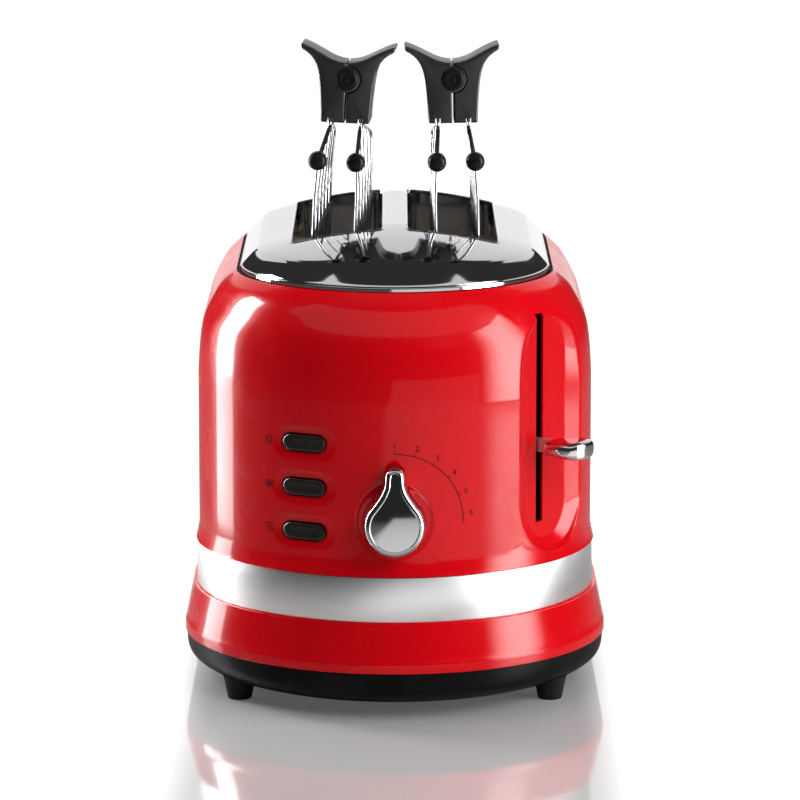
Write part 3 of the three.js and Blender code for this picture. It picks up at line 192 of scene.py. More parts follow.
@dataclass(frozen=True)
class Plan:
    """The level outline of the body: two straight sides with a half ellipse at each end."""

    straight_half: float = 50.0
    end_bulge: float = 5.6
    search_range: Pair = (0.001, 200.0)
    search_steps: int = 40

    def point(self, half: float, station: float) -> Pair:
        """Gives a point of the outline.

        Args:
            half: The half-width of the outline.
            station: From 0 to 1 along the rear end, to 2 down the left side, to 3 along the front
                end, and to 4 back up the right side.

        Returns:
            The point's x and y, in millimetres, in the row frame.
        """
        part = int(station) % 4
        share = station - int(station)
        if part in (0, 2):
            turn = share * math.pi
            sign = 1 if part == 0 else -1
            y = sign * (self.straight_half + (half + self.end_bulge) * math.sin(turn))
            return sign * half * math.cos(turn), y + BODY_Y
        sign = -1 if part == 1 else 1
        return sign * half, sign * self.straight_half * (2 * share - 1) + BODY_Y

    def front_y(self, half: float, x: float) -> float:
        """Gives the y of the outline's front end over a place x, in millimetres."""
        share = min(abs(x) / half, 1.0)
        return BODY_Y - self.straight_half - (half + self.end_bulge) * math.sqrt(1 - share**2)

    def fullness(self, half: float, x: float, y: float) -> float:
        """Tells how far out a point is, squared: 1 on the outline of that half-width, less inside it."""
        past = max(abs(y - BODY_Y) - self.straight_half, 0)
        return (x / half) ** 2 + (past / (half + self.end_bulge)) ** 2

    def half_at(self, x: float, y: float) -> float:
        """Finds the half-width of the outline that passes through a point.

        Args:
            x: The point's x in millimetres.
            y: The point's y in millimetres, in the row frame.

        Returns:
            The half-width, in millimetres.
        """
        low, high = self.search_range
        for _ in range(self.search_steps):
            trial = (low + high) / 2
            if self.fullness(trial, x, y) > 1:
                low = trial
            else:
                high = trial
        return high


PLAN = Plan()


# Meshes


def wrapped_grid(columns: int, rows: int, place: Callable[[int, int], Vector]) -> BMesh:
    """Bends a grid into place and welds the edges that meet.

    Args:
        columns: How many faces the grid has across.
        rows: How many faces it has up.
        place: Gives the place of a corner from its column and row, in metres.

    Returns:
        The mesh, whose vertices keep their column and row in layers of those names.
    """
    bm = bmesh.new()
    bmesh.ops.create_grid(bm, x_segments=columns, y_segments=rows, size=1.0)
    column_layer = bm.verts.layers.int.new("column")
    row_layer = bm.verts.layers.int.new("row")
    for vert in bm.verts:
        i = round((vert.co.x + 1) / 2 * columns)
        j = round((vert.co.y + 1) / 2 * rows)
        vert[column_layer] = i
        vert[row_layer] = j
        vert.co = place(i, j)
    bmesh.ops.remove_doubles(bm, verts=bm.verts, dist=WELD)
    return bm


def even_stations(end_pieces: int, side_pieces: int) -> list[float]:
    """Spreads stations round the plan, closed by the first one again.

    Args:
        end_pieces: Pieces on each half ellipse.
        side_pieces: Pieces on each straight side.

    Returns:
        The stations in order.
    """
    counts = (end_pieces, side_pieces, end_pieces, side_pieces)
    stations = [part + k / count for part, count in enumerate(counts) for k in range(count)]
    return [*stations, 4.0]


def plan_sweep(profile: Sequence[Sequence[float]], stations: Sequence[float], closed: bool) -> BMesh:
    """Carries a profile round the plan of the body.

    Args:
        profile: Half-widths and heights, in millimetres.
        stations: Where round the plan the profile is set.
        closed: Whether the profile's last point joins its first.

    Returns:
        The swept mesh.
    """
    line = [*profile, profile[0]] if closed else list(profile)

    def place(i: int, j: int) -> Vector:
        """Sets one corner on the plan line of its height."""
        half, z = line[j][0], line[j][1]
        x, y = PLAN.point(half, stations[i] % 4)
        return millimetres(x, y, z)

    return wrapped_grid(len(stations) - 1, len(line) - 1, place)


def spun(profile: Sequence[Pair], pieces: int, place: Matrix) -> BMesh:
    """Turns a profile about its axis.

    Args:
        profile: Radii and heights along the axis, in millimetres, from the axis to the axis.
        pieces: How many pieces the full turn has.
        place: Puts the turned shape, whose axis is Z, where it belongs, in metres.

    Returns:
        The turned mesh.
    """
    bm = bmesh.new()
    verts = [bm.verts.new(millimetres(r, 0, z)) for r, z in profile]
    edges = [bm.edges.new(pair) for pair in zip(verts, verts[1:])]
    bmesh.ops.spin(
        bm, geom=[*verts, *edges], cent=(0, 0, 0), axis=(0, 0, 1), angle=FULL_TURN, steps=pieces,
        use_merge=True,
    )
    bmesh.ops.remove_doubles(bm, verts=bm.verts, dist=WELD)
    bmesh.ops.recalc_face_normals(bm, faces=bm.faces)
    bmesh.ops.transform(bm, matrix=place, verts=bm.verts)
    return bm


def tube(points: Sequence[Vector], radius: float, sides: int, bm: BMesh) -> None:
    """Adds a round wire along a line to a mesh.

    Args:
        points: The line's points, in millimetres.
        radius: The wire's radius in millimetres.
        sides: How many sides the wire has.
        bm: The mesh that takes the wire.
    """
    side = Vector((1, 0, 0))
    first = None
    ring = None
    for k, point in enumerate(points):
        before = points[max(k - 1, 0)]
        after = points[min(k + 1, len(points) - 1)]
        along = (after - before).normalized()
        side = (side - along * side.dot(along)).normalized()
        turn = Matrix((side, along.cross(side), along)).transposed().to_4x4()
        place = Matrix.Translation(point * MM) @ turn
        made = bmesh.ops.create_circle(bm, segments=sides, radius=radius * MM, cap_ends=False, matrix=place)
        loop = list({e for v in made["verts"] for e in v.link_edges})
        first = first or loop
        if ring:
            bmesh.ops.bridge_loops(bm, edges=[*ring, *loop])
        ring = loop
    for cap in (first, ring):
        bmesh.ops.contextual_create(bm, geom=cap)


def wires(lines: Iterable[tuple[Sequence[Vector], float]], sides: int, place: Matrix) -> BMesh:
    """Makes one mesh of several wires.

    Args:
        lines: Each wire's points and radius, in millimetres.
        sides: How many sides each wire has.
        place: Puts the wires where they belong, in metres.

    Returns:
        The mesh of all the wires.
    """
    bm = bmesh.new()
    for points, radius in lines:
        tube(points, radius, sides, bm)
    bmesh.ops.recalc_face_normals(bm, faces=bm.faces)
    bmesh.ops.transform(bm, matrix=place, verts=bm.verts)
    return bm


def slab(outline: Sequence[Pair], low: float, high: float, place: Matrix = Matrix.Identity(4)) -> BMesh:
    """Presses an outline out into a slab.

    Args:
        outline: The corners in the slab's plane, in millimetres.
        low: Where the slab starts along its thickness, in millimetres.
        high: Where it ends.
        place: Puts the slab, whose thickness is Z, where it belongs, in metres.

    Returns:
        The slab's mesh.
    """
    bm = bmesh.new()
    verts = [bm.verts.new(millimetres(p[0], p[1], low)) for p in outline]
    face = bm.faces.new(verts)
    raised = bmesh.ops.extrude_face_region(bm, geom=[face], use_keep_orig=True)
    top = [v for v in raised["geom"] if isinstance(v, bmesh.types.BMVert)]
    bmesh.ops.translate(bm, vec=millimetres(0, 0, high - low), verts=top)
    bmesh.ops.recalc_face_normals(bm, faces=bm.faces)
    bmesh.ops.transform(bm, matrix=place, verts=bm.verts)
    return bm


def oblong(half_x: float, low: float, high: float, middle: float = 0.0) -> list[Pair]:
    """Gives the corners of an upright rectangle, round from its lower left one."""
    left, right = middle - half_x, middle + half_x
    return [(left, low), (right, low), (right, high), (left, high)]


def linked(name: str, data: bpy.types.ID) -> bpy.types.Object:
    """Makes an object of its data and links it to the scene."""
    made = bpy.data.objects.new(name, data)
    bpy.context.scene.collection.objects.link(made)
    return made


def applied_mesh(made: bpy.types.Object) -> bpy.types.Mesh:
    """Gives a new mesh of an object as its modifiers leave it."""
    graph = bpy.context.evaluated_depsgraph_get()
    graph.update()
    return bpy.data.meshes.new_from_object(made.evaluated_get(graph), depsgraph=graph)


def write_smooth(bm: BMesh, mesh: bpy.types.Mesh, sharp: float) -> None:
    """Writes a mesh out, smooth but for its sharp edges.

    Args:
        bm: The mesh, which is used up.
        mesh: Takes what it holds.
        sharp: Edges that turn by more than this many degrees stay sharp.
    """
    limit = math.radians(sharp)
    for face in bm.faces:
        face.smooth = True
    for edge in bm.edges:
        edge.smooth = len(edge.link_faces) != 2 or edge.calc_face_angle(0) < limit
    bm.to_mesh(mesh)
    bm.free()


def made_object(name: str, bm: BMesh, sharp: float = SHARP_DEG) -> bpy.types.Object:
    """Makes an object of a mesh, smooth but for its sharp edges.

    Args:
        name: The object's name.
        bm: The mesh, which is used up.
        sharp: Edges that turn by more than this many degrees stay sharp.

    Returns:
        The object, linked to the scene, at the origin.
    """
    mesh = bpy.data.meshes.new(name)
    write_smooth(bm, mesh, sharp)
    return linked(name, mesh)


def settled(made: bpy.types.Object) -> bpy.types.Object:
    """Applies an object's modifiers and marks its sharp edges afresh.

    Args:
        made: The object, whose modifiers are used up.

    Returns:
        The same object.
    """
    old = made.data
    made.data = applied_mesh(made)
    made.modifiers.clear()
    bpy.data.meshes.remove(old)
    bm = bmesh.new()
    bm.from_mesh(made.data)
    write_smooth(bm, made.data, SHARP_DEG)
    return made


class Cut(Enum):
    """What a second solid does to the first."""

    AWAY = "DIFFERENCE"
    JOIN = "UNION"


def combined(made: bpy.types.Object, other: BMesh, cut: Cut) -> bpy.types.Object:
    """Cuts a solid from an object, or joins it on.

    Args:
        made: The object that changes.
        other: The mesh of the other solid, which is used up.
        cut: Whether the solid is cut away or joined.

    Returns:
        The same object.
    """
    tool = made_object(f"{made.name}_tool", other)
    boolean = made.modifiers.new("cut", "BOOLEAN")
    boolean.operation = cut.value
    boolean.solver = "EXACT"
    boolean.object = tool
    settled(made)
    bpy.data.objects.remove(tool)
    return made


def thickened(made: bpy.types.Object, wall: float) -> bpy.types.Object:
    """Gives an open skin a wall on its inner side.

    Args:
        made: The object whose mesh is the outer skin.
        wall: The wall's thickness in millimetres.

    Returns:
        The same object.
    """
    solidify = made.modifiers.new("wall", "SOLIDIFY")
    solidify.thickness = wall * MM
    solidify.offset = -1.0
    return settled(made)


def pressed(
    name: str, line: Sequence[Sequence[float]], stations: Sequence[float], wall: float
) -> bpy.types.Object:
    """Makes a hollow pressing whose level lines follow the body's plan.

    Args:
        name: The object's name.
        line: Half-widths and heights of its outer skin, in millimetres.
        stations: Where round the plan the line is set.
        wall: The wall's thickness in millimetres.

    Returns:
        The pressing.
    """
    bm = plan_sweep(line, stations, closed=False)
    bmesh.ops.dissolve_degenerate(bm, dist=WELD, edges=bm.edges)
    bmesh.ops.recalc_face_normals(bm, faces=bm.faces)
    return thickened(made_object(name, bm), wall)


# Finishes


class Shader:
    """The nodes of one material, gathered round its Principled shader."""

    def __init__(self, name: str) -> None:
        """Starts a material.

        Args:
            name: The material's name.
        """
        self.material = bpy.data.materials.new(name)
        self.material.use_nodes = True
        self.tree = self.material.node_tree
        self.base = next(n for n in self.tree.nodes if n.type == "BSDF_PRINCIPLED")
        self.coordinates = self.tree.nodes.new("ShaderNodeTexCoord").outputs["Object"]

    def plain(self, **values: float) -> None:
        """Sets values that are the same all over, by the socket's name with _ for a space."""
        for name, value in values.items():
            self.base.inputs[name.replace("_", " ")].default_value = value

    def link(self, source: Socket, target: Socket) -> None:
        """Joins two sockets."""
        self.tree.links.new(source, target)

    def feed(self, name: str, source: Socket) -> None:
        """Joins a socket to an input of the Principled shader."""
        self.link(source, self.base.inputs[name])

    def noise(self, scale: float, detail: float = 3.0, stretch: Triple = (1, 1, 1)) -> Socket:
        """Adds a noise pattern.

        Args:
            scale: How many lumps there are in a metre.
            detail: How many finer layers the lumps have.
            stretch: How much denser the pattern is along each axis.

        Returns:
            The pattern's value.
        """
        mapping = self.tree.nodes.new("ShaderNodeMapping")
        mapping.inputs["Scale"].default_value = stretch
        self.link(self.coordinates, mapping.inputs["Vector"])
        noise = self.tree.nodes.new("ShaderNodeTexNoise")
        noise.inputs["Scale"].default_value = scale
        noise.inputs["Detail"].default_value = detail
        self.link(mapping.outputs["Vector"], noise.inputs["Vector"])
        return noise.outputs["Fac"]

    def axis(self, name: str) -> Socket:
        """Gives the shaded point's place along one axis.

        Args:
            name: X, Y or Z.

        Returns:
            The socket that carries it, in metres.
        """
        split = self.tree.nodes.new("ShaderNodeSeparateXYZ")
        self.link(self.coordinates, split.inputs["Vector"])
        return split.outputs[name]

    def ray(self, kind: str) -> Socket:
        """Gives 1 where a ray is of that kind, and 0 for others."""
        return self.tree.nodes.new("ShaderNodeLightPath").outputs[kind]

    def spread(
        self, source: Socket, low: float, high: float, start: float = 0.3, end: float = 0.7, smooth: bool = False
    ) -> Socket:
        """Maps a pattern's value to a range.

        Args:
            source: The pattern.
            low: The result where the pattern is at its start.
            high: The result where it is at its end.
            start: The pattern's lower value.
            end: Its upper value.
            smooth: Whether the range begins and ends softly.

        Returns:
            The mapped value.
        """
        node = self.tree.nodes.new("ShaderNodeMapRange")
        if smooth:
            node.interpolation_type = "SMOOTHSTEP"
        for name, value in (("From Min", start), ("From Max", end), ("To Min", low), ("To Max", high)):
            node.inputs[name].default_value = value
        self.link(source, node.inputs["Value"])
        return node.outputs["Result"]

    def counted(self, operation: str, *sources: Socket) -> Socket:
        """Joins one or two values by an operation of arithmetic.

        Args:
            operation: The operation's name.
            sources: The values' sockets.

        Returns:
            The socket that carries the result.
        """
        node = self.tree.nodes.new("ShaderNodeMath")
        node.operation = operation
        for source, target in zip(sources, node.inputs):
            self.link(source, target)
        return node.outputs["Value"]

    def tint(self, source: Socket, stops: Sequence[tuple[float, Triple]]) -> Socket:
        """Maps a pattern's value to colours.

        Args:
            source: The pattern.
            stops: Places from 0 to 1 and their colours.

        Returns:
            The colour.
        """
        ramp = self.tree.nodes.new("ShaderNodeValToRGB")
        elements = ramp.color_ramp.elements
        while len(elements) < len(stops):
            elements.new(0.5)
        for element, (place, colour) in zip(elements, stops):
            element.position = place
            element.color = (*colour, 1.0)
        self.link(source, ramp.inputs["Fac"])
        return ramp.outputs["Color"]

    def emboss(self, source: Socket, depth: float, strength: float = 1.0) -> None:
        """Lets a pattern raise the surface.

        Args:
            source: The pattern.
            depth: How deep the relief is, in millimetres.
            strength: How much of it shows.
        """
        bump = self.tree.nodes.new("ShaderNodeBump")
        bump.inputs["Strength"].default_value = strength
        bump.inputs["Distance"].default_value = depth * MM
        self.link(source, bump.inputs["Height"])
        self.feed("Normal", bump.outputs["Normal"])


Pattern = tuple[float, ...] | tuple[float, float, Triple]
Stops = tuple[tuple[float, Triple], ...]


@dataclass(frozen=True)
class Finish:
    """A surface whose colour, roughness and relief follow noise patterns.

    A pattern holds what Shader.noise takes. The colour's pattern also serves the roughness or the
    relief where that has none of its own. The relief is its depth in millimetres and its strength.
    """

    name: str
    tone: Pattern
    stops: Stops
    roughness: Pair
    relief: Pair
    gloss: Pattern = ()
    grain: Pattern = ()
    values: tuple[tuple[str, float], ...] = ()
    brushed_round: bool = False

    def material(self) -> bpy.types.Material:
        """Builds the finish's material."""
        shader = Shader(self.name)
        shader.plain(**dict(self.values))
        tone = shader.noise(*self.tone)
        shader.feed("Base Color", shader.tint(tone, self.stops))
        gloss = shader.noise(*self.gloss) if self.gloss else tone
        shader.feed("Roughness", shader.spread(gloss, *self.roughness))
        shader.emboss(shader.noise(*self.grain) if self.grain else tone, *self.relief)
        if self.brushed_round:
            tangent = shader.tree.nodes.new("ShaderNodeTangent")
            tangent.direction_type = "RADIAL"
            tangent.axis = "Z"
            shader.feed("Tangent", tangent.outputs["Tangent"])
        return shader.material


def plated(name: str, colour: Triple, roughness: Pair = (0.03, 0.09)) -> Finish:
    """Describes bright plating, with the faint smears of handling.

    Args:
        name: The material's name.
        colour: What the metal's mirror is tinted with.
        roughness: How rough it is at its brightest and at its dullest.

    Returns:
        The finish.
    """
    dim = tuple(0.94 * c for c in colour)
    stops = ((0.3, dim), (0.7, colour))
    return Finish(
        name, tone=(14.0,), stops=stops, roughness=roughness, relief=(0.004, 0.4), gloss=(35.0, 5.0),
        grain=(160.0, 2.0), values=(("Metallic", 1.0),),
    )


def sheet_steel(name: str, light: Triple, dark: Triple, metal: float) -> Finish:
    """Describes plain sheet inside the casing, dulled by heat in places.

    Args:
        name: The material's name.
        light: Its colour where it is clean.
        dark: Its colour where heat has dulled it.
        metal: How much of it shines as metal does.

    Returns:
        The finish.
    """
    stops = ((0.35, dark), (0.65, light))
    return Finish(
        name, tone=(22.0, 4.0), stops=stops, roughness=(0.34, 0.5), relief=(0.01, 0.4), gloss=(90.0,),
        grain=(900.0, 2.0), values=(("Metallic", metal),),
    )


def moulded(name: str, colour: Triple, roughness: Pair, shine: float = 0.2) -> Finish:
    """Describes moulded plastic or rubber with a fine grain.

    Args:
        name: The material's name.
        colour: Its colour where it isn't worn.
        roughness: How rough it is at its smoothest and at its dullest.
        shine: How strongly it mirrors.

    Returns:
        The finish.
    """
    worn = tuple(1.35 * c + 0.004 for c in colour)
    stops = ((0.4, colour), (0.75, worn))
    return Finish(
        name, tone=(30.0, 5.0), stops=stops, roughness=roughness, relief=(0.012, 0.5), gloss=(70.0, 4.0),
        grain=(2600.0, 2.0), values=(("Metallic", 0.0), ("Specular_IOR_Level", shine)),
    )


class Look(Enum):
    """The toaster's finishes, each with the material slot of the record that it belongs to."""

    ENAMEL = ("red_paint", Finish(
        "red_enamel", tone=(9.0, 2.0), stops=((0.3, (0.8, 0.002, 0.0075)), (0.7, (0.82, 0.002, 0.008))),
        roughness=(0.2, 0.3), relief=(0.004, 0.6), gloss=(60.0,), grain=(420.0, 1.0),
        values=(("Metallic", 0.0), ("Coat_Weight", 0.4), ("Coat_Roughness", 0.025), ("Coat_IOR", 1.45),
                ("Specular_IOR_Level", 0.12)),
    ))
    CHROME = ("bright_chrome", plated("bright_chrome", (0.66, 0.665, 0.67)))
    # The knob's plating is the bright chrome made darker: painted shade that dims the reflections on the knob's face.
    KNOB = ("bright_chrome", plated("shaded_knob_chrome", (0.48, 0.485, 0.49)))
    WIRE = ("bright_chrome", plated("bright_wire", (0.4, 0.4, 0.41), (0.16, 0.26)))
    BAND = ("brushed_band", Finish(
        "brushed_band", tone=(1.0, 4.0, (14.0, 14.0, 9000.0)),
        stops=((0.28, (0.74, 0.735, 0.735)), (0.72, (0.84, 0.835, 0.835))), roughness=(0.27, 0.38),
        relief=(0.006, 0.4), values=(("Metallic", 1.0), ("Anisotropic", 0.75)), brushed_round=True,
    ))
    STEEL = ("plain_steel", sheet_steel("inner_steel", (0.72, 0.71, 0.7), (0.52, 0.49, 0.46), 0.8))
    OVEN = ("plain_steel", sheet_steel("oven_steel", (0.84, 0.8, 0.77), (0.66, 0.6, 0.56), 0.15))
    BLACK = ("black_plastic", moulded("black_plastic", (0.007, 0.007, 0.008), (0.3, 0.42), 0.15))
    BASE = ("black_plastic", moulded("base_plastic", (0.005, 0.005, 0.006), (0.34, 0.46), 0.07))
    GRIP = ("black_plastic", moulded("grip_plastic", (0.009, 0.009, 0.0095), (0.3, 0.42), 0.8))
    INK = ("black_plastic", moulded("printed_ink", (0.05, 0.004, 0.004), (0.3, 0.45)))
    BUTTON = ("grey_plastic", moulded("button_plastic", (0.016, 0.013, 0.012), (0.2, 0.3), 0.35))
    RUBBER = ("rubber", moulded("black_rubber", (0.012, 0.012, 0.012), (0.55, 0.75)))
    MICA = ("mica", Finish(
        "mica_sheet", tone=(260.0, 6.0),
        stops=((0.3, (0.2, 0.14, 0.08)), (0.5, (0.42, 0.33, 0.2)), (0.7, (0.6, 0.5, 0.34))),
        roughness=(0.35, 0.6), relief=(0.03, 0.4), values=(("Metallic", 0.0), ("Coat_Weight", 0.3)),
    ))
    BOARD = ("circuit_board", Finish(
        "circuit_board", (1.0, 0.0, (90.0, 20.0, 320.0)),
        ((0.45, (0.012, 0.1, 0.035)), (0.52, (0.03, 0.2, 0.07)), (0.6, (0.02, 0.13, 0.05))),
        (0.3, 0.45), (0.02, 0.5), values=(("Metallic", 0.0), ("Coat_Weight", 0.5)),
    ))

    @property
    def slot(self) -> str:
        """The record's material slot."""
        return self.value[0]


class Finishes:
    """Makes each finish's material once and hands it out."""

    def __init__(self) -> None:
        """Builds the materials."""
        self.materials = {look: look.value[1].material() for look in Look}

    def dress(self, made: bpy.types.Object, look: Look) -> None:
        """Gives an object one finish all over.

        Args:
            made: The object.
            look: Its finish.
        """
        made.data.materials.clear()
        made.data.materials.append(self.materials[look])
        look.slot


@dataclass
class Assembly:
    """What every sub-assembly has: the finishes, and a way to dress a finished piece and set it on its body."""

    finishes: Finishes

    def piece(self, made: bpy.types.Object, body: str, look: Look, *nodes: str) -> bpy.types.Object:
        """Dresses a piece, sets it on its body and lets it stand for CAD nodes.

        Args:
            made: The piece, whose place is in its mesh.
            body: The CAD body that it moves with.
            look: Its finish.
            nodes: The CAD nodes that it stands for.

        Returns:
            The same piece.
        """
        self.finishes.dress(made, look)
        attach(made, body)
        if nodes:
            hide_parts(*nodes)
        LOG.info("%s rides on %s, %d faces", made.name, body, len(made.data.polygons))
        return made

    def hoop(self, name: str, line: Sequence[Sequence[float]], look: Look, node: str) -> None:
        """Makes a piece that runs round the body's plan.

        Args:
            name: The piece's name.
            line: Its closed section, as half-widths and heights in millimetres.
            look: Its finish.
            node: The CAD node that it stands for.
        """
        bm = plan_sweep(line, even_stations(*RING_PIECES), closed=True)
        bmesh.ops.recalc_face_normals(bm, faces=bm.faces)
        self.piece(made_object(name, bm), "root", look, node)


# Casing


@dataclass(frozen=True)
class Pocket:
    """A hollow pressed into the front of the shell, laid out in rings round a straight spine."""

    middle: Pair
    facing_deg: float
    centre_z: float
    upright: bool
    reach_across: float
    low_z: float
    high_z: float
    rings: tuple[Triple, ...] = ()

    @property
    def along(self) -> Vector:
        """The level direction across the pocket."""
        turn = math.radians(self.facing_deg)
        return Vector((math.cos(turn), math.sin(turn)))

    @property
    def out(self) -> Vector:
        """The level direction that the pocket faces."""
        turn = math.radians(self.facing_deg)
        return Vector((math.sin(turn), -math.cos(turn)))

    def place(self, across: float, out: float, z: float) -> Vector:
        """Gives a point of the row frame, in metres, from the pocket's own frame in millimetres."""
        level = Vector(self.middle) + self.along * across + self.out * out
        return millimetres(level.x, level.y + BODY_Y, z)

    def across_of(self, place: Vector) -> float:
        """Tells how far across the pocket a point lies, in millimetres."""
        level = Vector((place.x / MM, place.y / MM - BODY_Y)) - Vector(self.middle)
        return level.dot(self.along)

    def level_at(self, ring: Triple, skin: float) -> float:
        """Gives how far out a ring is, where the shell's skin is that far out."""
        return skin - ring[2]


@dataclass(frozen=True)
class LeverRecess(Pocket):
    """The long hollow in the right front corner in which the lever runs."""

    mouth_half: float = 24.5
    floor_half: float = 15.0
    floor_depth: float = 3.0
    half_height: float = 54.25
    edge_round: float = 0.7
    foot_round: float = 0.45
    spread_share: float = 0.4
    rim_radius: float = 28.9
    rim_step: float = 0.42
    rim_count: int = 14
    inner_radii: tuple[float, ...] = (
        22.8, 21.6, 20.3, 19.0, 17.8, 16.9, 16.2, 15.7, 15.2, 14.8, 14.4, 13.8, 12.6, 11.0, 9.0, 6.5, 4.0, 1.5,
    )

    def ringed(self) -> "LeverRecess":
        """Gives the same recess with its rings, from the skin in to the middle of the floor."""
        rim = [self.rim_radius - self.rim_step * k for k in range(self.rim_count)]
        return replace(self, rings=tuple(self.ring_at(radius) for radius in (*rim, *self.inner_radii)))

    def ring_at(self, radius: float) -> Triple:
        """Gives the ring of a radius, with the height of the pocket's wall in place of the sink.

        Args:
            radius: The ring's radius in millimetres.

        Returns:
            Its radius, half spine and wall height over the chord.
        """
        slope = (self.mouth_half - self.floor_half) / 2
        if radius >= self.mouth_half:
            past = radius - self.mouth_half
            return radius, self.half_height + self.spread_share * past - radius, past
        if radius >= self.floor_half:
            share = (self.mouth_half - radius) / (self.mouth_half - self.floor_half)
            return radius, self.half_height - slope * share - radius, -self.floor_depth * share
        return radius, self.half_height - slope - self.floor_half, -self.floor_depth

    def level_at(self, ring: Triple, skin: float) -> float:
        """Gives a ring's distance out: on the wall or the floor, or on the skin where that is lower."""
        wall = -soft_least(self.floor_depth, -ring[2], self.foot_round)
        return soft_least(skin, wall, self.edge_round)


@dataclass
class BodyShell(Assembly):
    """The painted upper shell, with the lever's recess and the dishes of the controls."""

    lip_out: float = 1.4
    lip_rise: float = 7.0
    seat_half: float = 88.9
    seam_z: float = 54.9
    bottom_z: float = 65.1
    shoulder_z: float = 141.7
    opening_z: float = 188.0
    opening_half: float = 72.2
    wall: float = 1.0
    row_step: float = 1.5
    station_step: float = 0.0055
    line_steps: int = 8
    search_steps: int = 34
    arc_samples: int = 4001
    last_share: float = 0.999999
    lean_shares: tuple[Pair, ...] = (
        (0, 0), (0.02, 0.15), (0.05, 0.3), (0.1, 0.445), (0.19, 0.575), (0.36, 0.71), (0.63, 0.875), (1, 1),
    )
    recess_centre_z: float = 124.25
    recess_reach: float = 31.5
    recess_low_z: float = 66.8
    recess_high_z: float = 183.0
    slot_half: float = 2.75
    slot_out: Pair = (-12.0, 5.0)
    slot_low_z: float = 82.2
    slot_high_z: float = 175.8
    front_y: float = -100.0
    dish_reach: Pair = (15.9, 9.0)
    dish: tuple[Triple, ...] = (
        (7.9, 6.6, 0.0), (7.5, 6.6, 0.03), (7.1, 6.6, 0.14), (6.7, 6.55, 0.34), (6.2, 6.4, 0.58),
        (5.6, 6.2, 0.76), (5.0, 6.0, 0.86), (4.5, 5.8, 0.92), (4.2, 5.7, 1.05), (4.2, 5.7, 1.5),
    )
    bowl_reach: Pair = (19.5, 18.7)
    bowl: tuple[Triple, ...] = (
        (17.9, 0.0, 0.0), (17.4, 0.0, 0.03), (16.9, 0.0, 0.16), (16.4, 0.0, 0.4), (15.9, 0.0, 0.62),
        (15.2, 0.0, 0.78), (14.0, 0.0, 0.86), (9.0, 0.0, 0.9), (3.8, 0.0, 0.9), (3.5, 0.0, 1.1),
    )
    opening_lip: tuple[Pair, ...] = ((0.35, 0.12), (0.6, -0.1))
    search_reach: float = 60.0
    slack: float = 0.01
    rear_pieces: int = 48
    side_pieces: int = 12
    _line: list[Pair] = field(default_factory=list)

    def __post_init__(self) -> None:
        """Works out the line of the shell's side."""
        waist = LAYOUT.waist_half
        lean = waist - self.opening_half
        rise = self.opening_z - self.shoulder_z
        lip = smooth_line([
            (self.bottom_z, waist + self.lip_out),
            (self.bottom_z + self.lip_rise / 3, waist + 0.5 * self.lip_out),
            (self.bottom_z + self.lip_rise, waist),
        ])
        points = [(self.shoulder_z + up * rise, waist - inward * lean) for inward, up in self.lean_shares]
        shoulder = smooth_line(points, self.line_steps)
        self._line = [*lip, *shoulder]

    def half_at(self, z: float) -> float:
        """Gives the shell's half-width at a height."""
        heights, halves = zip(*self._line)
        return float(np.interp(z, heights, halves))

    def skin_out(self, pocket: Pocket, across: float, z: float) -> float:
        """Finds how far out the shell's skin is in a pocket's frame.

        Args:
            pocket: The pocket whose frame is used.
            across: The place across it.
            z: The height.

        Returns:
            The distance along the pocket's facing, in millimetres.
        """
        half = self.half_at(z)
        low, high = -self.search_reach, self.search_reach
        for _ in range(self.search_steps):
            trial = (low + high) / 2
            level = Vector(pocket.middle) + pocket.along * across + pocket.out * trial
            if PLAN.fullness(half, level.x, level.y + BODY_Y) > 1:
                high = trial
            else:
                low = trial
        return low

    def front_pocket(self, x: float, z: float, reach: Pair, rings: tuple[Triple, ...]) -> Pocket:
        """Makes a pocket that faces straight ahead."""
        return Pocket((x, self.front_y), 0.0, z, False, reach[0], z - reach[1], z + reach[1], rings)

    def pockets(self) -> list[Pocket]:
        """Lists the shell's pockets: the recess, a dish for each button and one for the knob."""
        recess = LeverRecess(
            LAYOUT.lever_middle, LAYOUT.lever_facing_deg, self.recess_centre_z, True, self.recess_reach,
            self.recess_low_z, self.recess_high_z,
        )
        dishes = [self.front_pocket(LAYOUT.button_x, z, self.dish_reach, self.dish) for z in LAYOUT.button_heights]
        return [recess.ringed(), *dishes, self.front_pocket(0.0, LAYOUT.knob_z, self.bowl_reach, self.bowl)]

    def stations(self, pockets: Sequence[Pocket]) -> list[float]:
        """Spreads stations round the shell, close on the front end and on every pocket's sides.

        Args:
            pockets: The pockets, whose sides have to lie on a station.

        Returns:
            The stations from 0 to 4.
        """
        shares = np.linspace(0, 1, self.arc_samples)
        middle = Vector((0, BODY_Y))
        front = [Vector(PLAN.point(LAYOUT.waist_half, 2 + min(s, self.last_share))) - middle for s in shares]
        stops = [2.0, 3.0]
        for pocket in pockets:
            across = [(point - Vector(pocket.middle)).dot(pocket.along) for point in front]
            for side in (-pocket.reach_across, pocket.reach_across):
                stops.append(2 + float(np.interp(side, across, shares)))
        rear = [k / self.rear_pieces for k in range(self.rear_pieces)]
        left = [1 + k / self.side_pieces for k in range(self.side_pieces)]
        right = [3 + k / self.side_pieces for k in range(1, self.side_pieces + 1)]
        return [*rear, *left, *subdivided(stops, self.station_step), *right]

    def sink(self, bm: BMesh, stations: Sequence[float], rows: Sequence[Pair], pocket: Pocket) -> None:
        """Opens the skin where a pocket lies and draws the opening in, ring by ring.

        Args:
            bm: The skin.
            stations: The stations of its columns.
            rows: The half-width and height of its rows.
            pocket: The pocket.
        """
        row_layer = bm.verts.layers.int["row"]
        column_layer = bm.verts.layers.int["column"]

